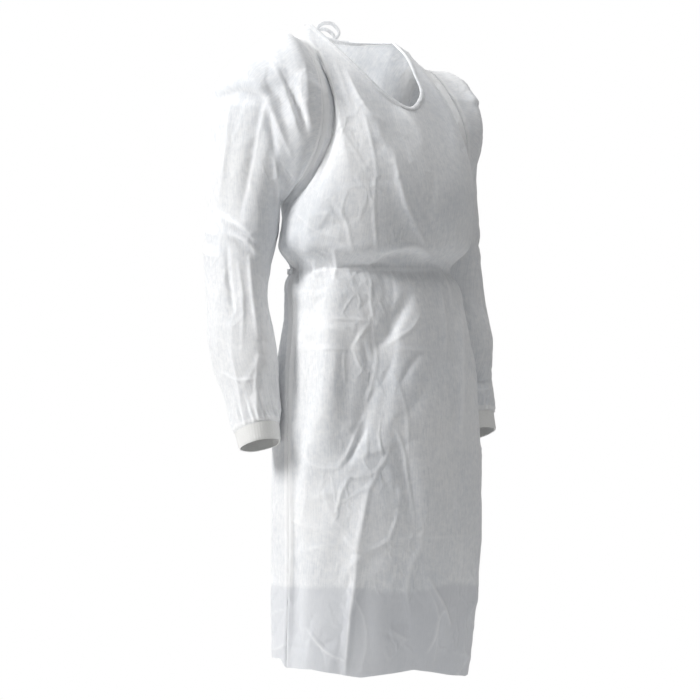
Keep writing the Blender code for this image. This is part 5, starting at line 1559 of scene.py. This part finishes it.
def knitted(name, colours):
    """White polyester rib knit, as on a cuff: soft and dull, with stitches about 1 mm high in upright ribs."""
    made, tree, shader = new_finish(name, {
        "Roughness": 0.92, "Sheen Weight": 0.25, "Sheen Roughness": 0.6, "Subsurface Weight": 0.2,
        "Subsurface Radius": (1.0, 1.0, 1.0), "Subsurface Scale": 0.002})
    place = add(tree, "ShaderNodeUVMap", uv_map="cloth").outputs["UV"]
    loops_at = add(tree, "ShaderNodeMapping", {"Vector": place, "Scale": (1 / 0.0011, 1 / 0.0018, 1 / 0.0011)})
    loops = add(tree, "ShaderNodeTexVoronoi", {"Vector": loops_at, "Scale": 1.0, "Randomness": 0.35})
    fuzz = add(tree, "ShaderNodeTexNoise", {"Vector": place, "Scale": 1 / 0.0012, "Detail": 3.0})
    mixed = add(tree, "ShaderNodeMath", {0: loops, 1: fuzz}, operation="ADD")
    # Painted shade: the knit is painted darker where its bump lies deepest, between the loops.
    amount = add(tree, "ShaderNodeMapRange", {"Value": mixed, "From Min": 1.4, "From Max": 0.5})
    colour = add(tree, "ShaderNodeMix", {"Factor": amount, "A": (*colours[0], 1), "B": (*colours[1], 1)},
                 data_type="RGBA")
    tree.links.new(colour.outputs["Result"], shader.inputs["Base Color"])
    bump = add(tree, "ShaderNodeBump", {"Strength": 0.6, "Distance": -0.0003, "Height": mixed})
    tree.links.new(bump.outputs["Normal"], shader.inputs["Normal"])
    return made


def spun_thread(name, colours):
    """White spun polyester sewing thread, 0.3 mm thick and drawn at 0.5 mm, with a dull twist along it."""
    made, tree, shader = new_finish(name, {"Roughness": 0.7, "Sheen Weight": 0.1})
    place = add(tree, "ShaderNodeTexCoord").outputs["Object"]
    twist = add(tree, "ShaderNodeTexNoise", {"Vector": place, "Scale": 1 / 0.0008, "Detail": 2.0})
    colour = add(tree, "ShaderNodeMix", {"Factor": twist, "A": (*colours[0], 1), "B": (*colours[1], 1)},
                 data_type="RGBA")
    tree.links.new(colour.outputs["Result"], shader.inputs["Base Color"])
    return made


def pale_floor(name, colour):
    """Matt pale studio vinyl, with a faint unevenness."""
    made, tree, shader = new_finish(name, {"Roughness": 0.75})
    place = add(tree, "ShaderNodeTexCoord").outputs["Object"]
    spots = add(tree, "ShaderNodeTexNoise", {"Vector": place, "Scale": 6.0, "Detail": 3.0})
    tint = add(tree, "ShaderNodeMix", {"Factor": spots, "A": (*[c * 0.97 for c in colour], 1),
                                       "B": (*colour, 1)}, data_type="RGBA")
    tree.links.new(tint.outputs["Result"], shader.inputs["Base Color"])
    return made


def finish(name):
    """The material of that name, made at its first use."""
    found = bpy.data.materials.get(name)
    if found:
        return found
    looks = bpy.context.scene.gown_looks
    cloth = [tuple(looks.cloth_shade), tuple(looks.cloth), tuple(looks.cloth_double_and_ridge_highlight), tuple(looks.cloth_painted_hem_shade)]
    if name == "spunbond polypropylene":
        return spunbond(name, cloth)
    if name == "folded spunbond strip":
        return spunbond(name, cloth, folded=True)
    if name == "polyester rib knit":
        return knitted(name, [tuple(looks.knit_shade), tuple(looks.knit)])
    if name == "polyester sewing thread":
        return spun_thread(name, [tuple(looks.cloth_shade), tuple(looks.cloth_double_and_ridge_highlight)])
    return pale_floor(name, tuple(looks.floor))


# ---- Properties ----


def colour_property(name, description, code):
    return FloatVectorProperty(name=name, description=description, subtype="COLOR", size=3, min=0.0, max=1.0,
                               default=linear(code))


def length_property(name, description, default, low, high):
    return FloatProperty(name=name, description=description, default=default, min=low, max=high, unit="LENGTH")


def factor_property(name, description):
    return FloatProperty(name=name, description=description, default=1.0, min=0.0, max=2.0, subtype="FACTOR")


def power_property(name, description, default):
    return FloatProperty(name=name, description=description, default=default, min=0.0, max=3000.0, unit="POWER")


class GownSizes(PropertyGroup):
    wall: length_property("Cloth wall", "How thick the modelled cloth is", 0.0012, 0.0003, 0.003)
    cuff_wall: length_property("Cuff wall", "How thick the knitted cuff is", 0.0018, 0.0005, 0.004)
    creases: factor_property("Creases", "Strength of the creases placed by hand")
    crumple: factor_property("Crumple", "Strength of the small random creases")
    groove: length_property("Seam groove", "How far the cloth dips at a seam", 0.0010, 0.0, 0.003)
    allowance: length_property("Seam allowance", "How far the doubled cloth at a seam stands out", 0.0005, 0.0, 0.002)
    ribs: IntProperty(name="Ribs", description="How many ribs go round a cuff", default=48, min=12, max=72)
    rib_height: length_property("Rib height", "How far a rib stands out from its middle", 0.0005, 0.0, 0.002)
    stitch: length_property("Stitch length", "From one stitch to the next", 0.0032, 0.001, 0.008)
    thread: length_property("Thread", "How thick the sewing thread is", 0.0005, 0.0002, 0.0015)


class GownLooks(PropertyGroup):
    cloth: colour_property("Cloth", "Spunbond cloth, where it is densest", "F5F6F7")
    cloth_shade: colour_property("Cloth, thin places", "Spunbond cloth, where its filaments lie thinner", "DEE1E5")
    # This colour also paints the highlight along crease ridges.
    cloth_double_and_ridge_highlight: colour_property("Cloth, doubled", "Two layers of the cloth, as at a seam", "F8F9FA")
    # Painted shade: this colour greys the skirt where it hangs free.
    cloth_painted_hem_shade: colour_property("Cloth, sheer", "The skirt where it hangs clear and light goes through", "D6D8DC")
    knit: colour_property("Knit", "The raised side of the rib knit", "F4F4F2")
    # Painted shade: the colour painted into the hollows of the knit.
    knit_shade: colour_property("Knit, between", "Between the ribs", "DEDEDC")
    floor: colour_property("Floor", "The studio floor", "F0F0F0")
    key: power_property("Key light", "Power of the large light at the gown's right", 165.0)
    overhead: power_property("Overhead light", "Power of the large light over the shoulders", 55.0)
    behind: power_property("Back light", "Power of the light that shines through the back", 70.0)
    inner: power_property("Inner light", "Power of the small light inside the neck", 0.11)
    fill: FloatProperty(name="Fill light", description="Strength of the even light from all round", default=0.26,
                        min=0.0, max=2.0)


# ---- Operators ----


def dressed(piece, node_names, look):
    """Gives a piece its finish and its body, and hides the solids that it stands for."""
    piece.data.materials.clear()
    piece.data.materials.append(finish(look))
    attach(piece, "root")
    if node_names:
        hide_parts(*node_names)
    return piece


def cloth_piece(name, wall):
    """One cloth piece of the gown, made from its cut and creased grid."""
    sizes = bpy.context.scene.gown_sizes
    pieces = cut_out(sizes)
    look = "polyester rib knit" if name.startswith("cuff") else "spunbond polypropylene"
    return dressed(shell(pieces[name], wall / MM), [name], look)


class GOWN_OT_front(Operator):
    """Make the gown's front, cut in one from neck to hem"""

    bl_idname = "gown.make_front"
    bl_label = "Front"

    def execute(self, context):
        cloth_piece("front", context.scene.gown_sizes.wall)
        return {"FINISHED"}


class GOWN_OT_backs(Operator):
    """Make both backs; the left one laps over the right one"""

    bl_idname = "gown.make_backs"
    bl_label = "Backs"

    def execute(self, context):
        for name in ("back_right", "back_left"):
            cloth_piece(name, context.scene.gown_sizes.wall)
        return {"FINISHED"}


class GOWN_OT_sleeves(Operator):
    """Make both set-in sleeves"""

    bl_idname = "gown.make_sleeves"
    bl_label = "Sleeves"

    def execute(self, context):
        for name in ("sleeve_right", "sleeve_left"):
            cloth_piece(name, context.scene.gown_sizes.wall)
        return {"FINISHED"}


class GOWN_OT_cuffs(Operator):
    """Make both ribbed cuffs"""

    bl_idname = "gown.make_cuffs"
    bl_label = "Cuffs"

    def execute(self, context):
        for name in ("cuff_right", "cuff_left"):
            cloth_piece(name, context.scene.gown_sizes.cuff_wall)
        return {"FINISHED"}


class GOWN_OT_neck_binding(Operator):
    """Fold the binding over the neck edge"""

    bl_idname = "gown.make_neck_binding"
    bl_label = "Neck binding"

    def execute(self, context):
        binding = neck_binding(cut_out(context.scene.gown_sizes))
        dressed(binding, ["neck_binding"], "folded spunbond strip")
        return {"FINISHED"}


class GOWN_OT_neck_bow(Operator):
    """Tie the bow at the nape"""

    bl_idname = "gown.make_neck_bow"
    bl_label = "Neck bow"

    def execute(self, context):
        dice = np.random.default_rng(31)
        for row in NECK_STRIPS:
            dressed(strip(row, (0, 0, 0), dice), [row.name], "folded spunbond strip")
        dressed(knot("neck_knot", NECK_KNOT, NECK_KNOT_SIZE, dice), ["neck_knot"], "folded spunbond strip")
        return {"FINISHED"}


class GOWN_OT_waist_ties(Operator):
    """Draw the waist ties round the back and tie them in a bow"""

    bl_idname = "gown.make_waist_ties"
    bl_label = "Waist ties"

    def execute(self, context):
        dice = np.random.default_rng(47)
        line, out = waist_line(np.array([90.0]))
        seam_right, seam_left = 180.0 - float(seam_angle(WAIST_Z)), float(seam_angle(WAIST_Z))
        for name, seam, centre in (("waist_tie_right", seam_right, 90.0 + WAIST_KNOT_TURN),
                                   ("waist_tie_left", seam_left, 90.0 - WAIST_KNOT_TURN)):
            dressed(waist_tie(name + "_cloth", seam, centre, dice), [name], "folded spunbond strip")
        for row in WAIST_STRIPS:
            made = strip(row, (line[0][0], line[0][1], WAIST_Z), dice)
            dressed(made, [row.name], "folded spunbond strip")
        middle = line[0] + out[0] * WAIST_KNOT_STAND
        dressed(knot("waist_knot", middle, WAIST_KNOT_SIZE, dice), ["waist_knot"], "folded spunbond strip")
        return {"FINISHED"}


class GOWN_OT_stitches(Operator):
    """Sew the seams and the binding"""

    bl_idname = "gown.make_stitches"
    bl_label = "Stitches"

    def execute(self, context):
        sizes = context.scene.gown_sizes
        pieces = cut_out(sizes)
        thread = finish("polyester sewing thread")
        down = np.array([6.2])
        points, facing = neck_lines(pieces["front"], pieces["back_right"], pieces["back_left"], down)
        on_binding = (points + facing * 1.1)[:, 0]
        for name, lines in (("seam_stitches", seam_lines(pieces)), ("binding_stitches", [on_binding])):
            made = stitched(name, lines, sizes, thread)
            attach(made, "root")
        return {"FINISHED"}


# How each sheet was cut: its flat width and length, and the area of cloth in it.
Sheet = namedtuple("Sheet", "piece width length area with_pieces")


class GOWN_OT_sheets(Operator):
    """Returns at once: no sheet of cloth is declared"""

    bl_idname = "gown.declare_sheets"
    bl_label = "Cut sizes"

    def execute(self, context):
        return {"FINISHED"}


class GOWN_OT_stage(Operator):
    """Set up the pale floor, the soft studio light and the camera"""

    bl_idname = "gown.make_stage"
    bl_label = "Stage"

    def execute(self, context):
        scene = context.scene
        looks = scene.gown_looks
        bpy.ops.mesh.primitive_circle_add(vertices=96, radius=2.0, fill_type="NGON", location=(0, 0, 0))
        floor = context.object
        floor.name = "studio_floor"
        for vertex in floor.data.vertices:
            vertex.co.z = FLOOR_Z * MM
        floor.data.materials.append(finish("matt studio vinyl"))

        turn = math.radians(PICTURE_ANGLE)
        right = np.array([math.cos(turn), math.sin(turn), 0.0])
        back = np.array([math.sin(turn), -math.cos(turn), 0.0])
        aim = (right * AIM_ASIDE + np.array([0, 0, AIM_Z])) * MM
        lens = bpy.data.cameras.new("camera")
        lens.sensor_width = 36.0
        lens.lens = lens.sensor_width * CAMERA_DISTANCE / (PICTURE_SCALE * PICTURE_SIZE)
        camera = bpy.data.objects.new("camera", lens)
        camera.location = aim + back * CAMERA_DISTANCE * MM
        camera.rotation_euler = (math.pi / 2, 0, turn)
        scene.collection.objects.link(camera)
        scene.camera = camera

        for row in LIGHTS:
            lamp = bpy.data.lights.new(row.name, "AREA")
            lamp.shape, lamp.size, lamp.energy = "DISK", row.size, getattr(looks, row.name)
            light = bpy.data.objects.new(row.name, lamp)
            spin, lift = math.radians(row.turn), math.radians(row.lift)
            way = np.array([math.sin(spin) * math.cos(lift), -math.cos(spin) * math.cos(lift), math.sin(lift)])
            light.location = (aim if row.aim is None else np.array(row.aim) * MM) + way * row.distance
            light.rotation_euler = (math.pi / 2 - lift, 0, spin)
            light.visible_camera = False
            scene.collection.objects.link(light)

        world = bpy.data.worlds.new("white studio")
        scene.world = world
        world.use_nodes = True
        tree = world.node_tree
        tree.nodes.clear()
        path = add(tree, "ShaderNodeLightPath")
        even = add(tree, "ShaderNodeBackground", {"Color": (1, 1, 1, 1), "Strength": looks.fill})
        white = add(tree, "ShaderNodeBackground", {"Color": (1, 1, 1, 1), "Strength": 1.0})
        mixed = add(tree, "ShaderNodeMixShader", {0: path.outputs["Is Camera Ray"], 1: even, 2: white})
        add(tree, "ShaderNodeOutputWorld", {"Surface": mixed})
        scene.view_settings.view_transform = "Standard"
        scene.view_settings.look = "None"
        return {"FINISHED"}


class GOWN_PT_panel(Panel):
    bl_idname = "GOWN_PT_panel"
    bl_label = "Isolation gown"
    bl_space_type = "VIEW_3D"
    bl_region_type = "UI"
    bl_category = "Gown"

    def draw(self, context):
        layout = self.layout
        for group in (context.scene.gown_sizes, context.scene.gown_looks):
            box = layout.box()
            for name in group.__annotations__:
                box.prop(group, name)
        for operator in OPERATORS:
            layout.operator(operator.bl_idname)


OPERATORS = (GOWN_OT_stage, GOWN_OT_front, GOWN_OT_backs, GOWN_OT_sleeves, GOWN_OT_cuffs, GOWN_OT_neck_binding,
             GOWN_OT_neck_bow, GOWN_OT_waist_ties, GOWN_OT_stitches, GOWN_OT_sheets)
CLASSES = (GownSizes, GownLooks, *OPERATORS, GOWN_PT_panel)


def register():
    for made in CLASSES:
        bpy.utils.register_class(made)
    bpy.types.Scene.gown_sizes = PointerProperty(type=GownSizes)
    bpy.types.Scene.gown_looks = PointerProperty(type=GownLooks)


def unregister():
    del bpy.types.Scene.gown_looks
    del bpy.types.Scene.gown_sizes
    for made in reversed(CLASSES):
        bpy.utils.unregister_class(made)


def main():
    register()
    bpy.ops.gown.make_stage()
    bpy.ops.gown.make_front()
    bpy.ops.gown.make_backs()
    bpy.ops.gown.make_sleeves()
    bpy.ops.gown.make_cuffs()
    bpy.ops.gown.make_neck_binding()
    bpy.ops.gown.make_neck_bow()
    bpy.ops.gown.make_waist_ties()
    bpy.ops.gown.make_stitches()
    bpy.ops.gown.declare_sheets()


if __name__ == "__main__":
    main()
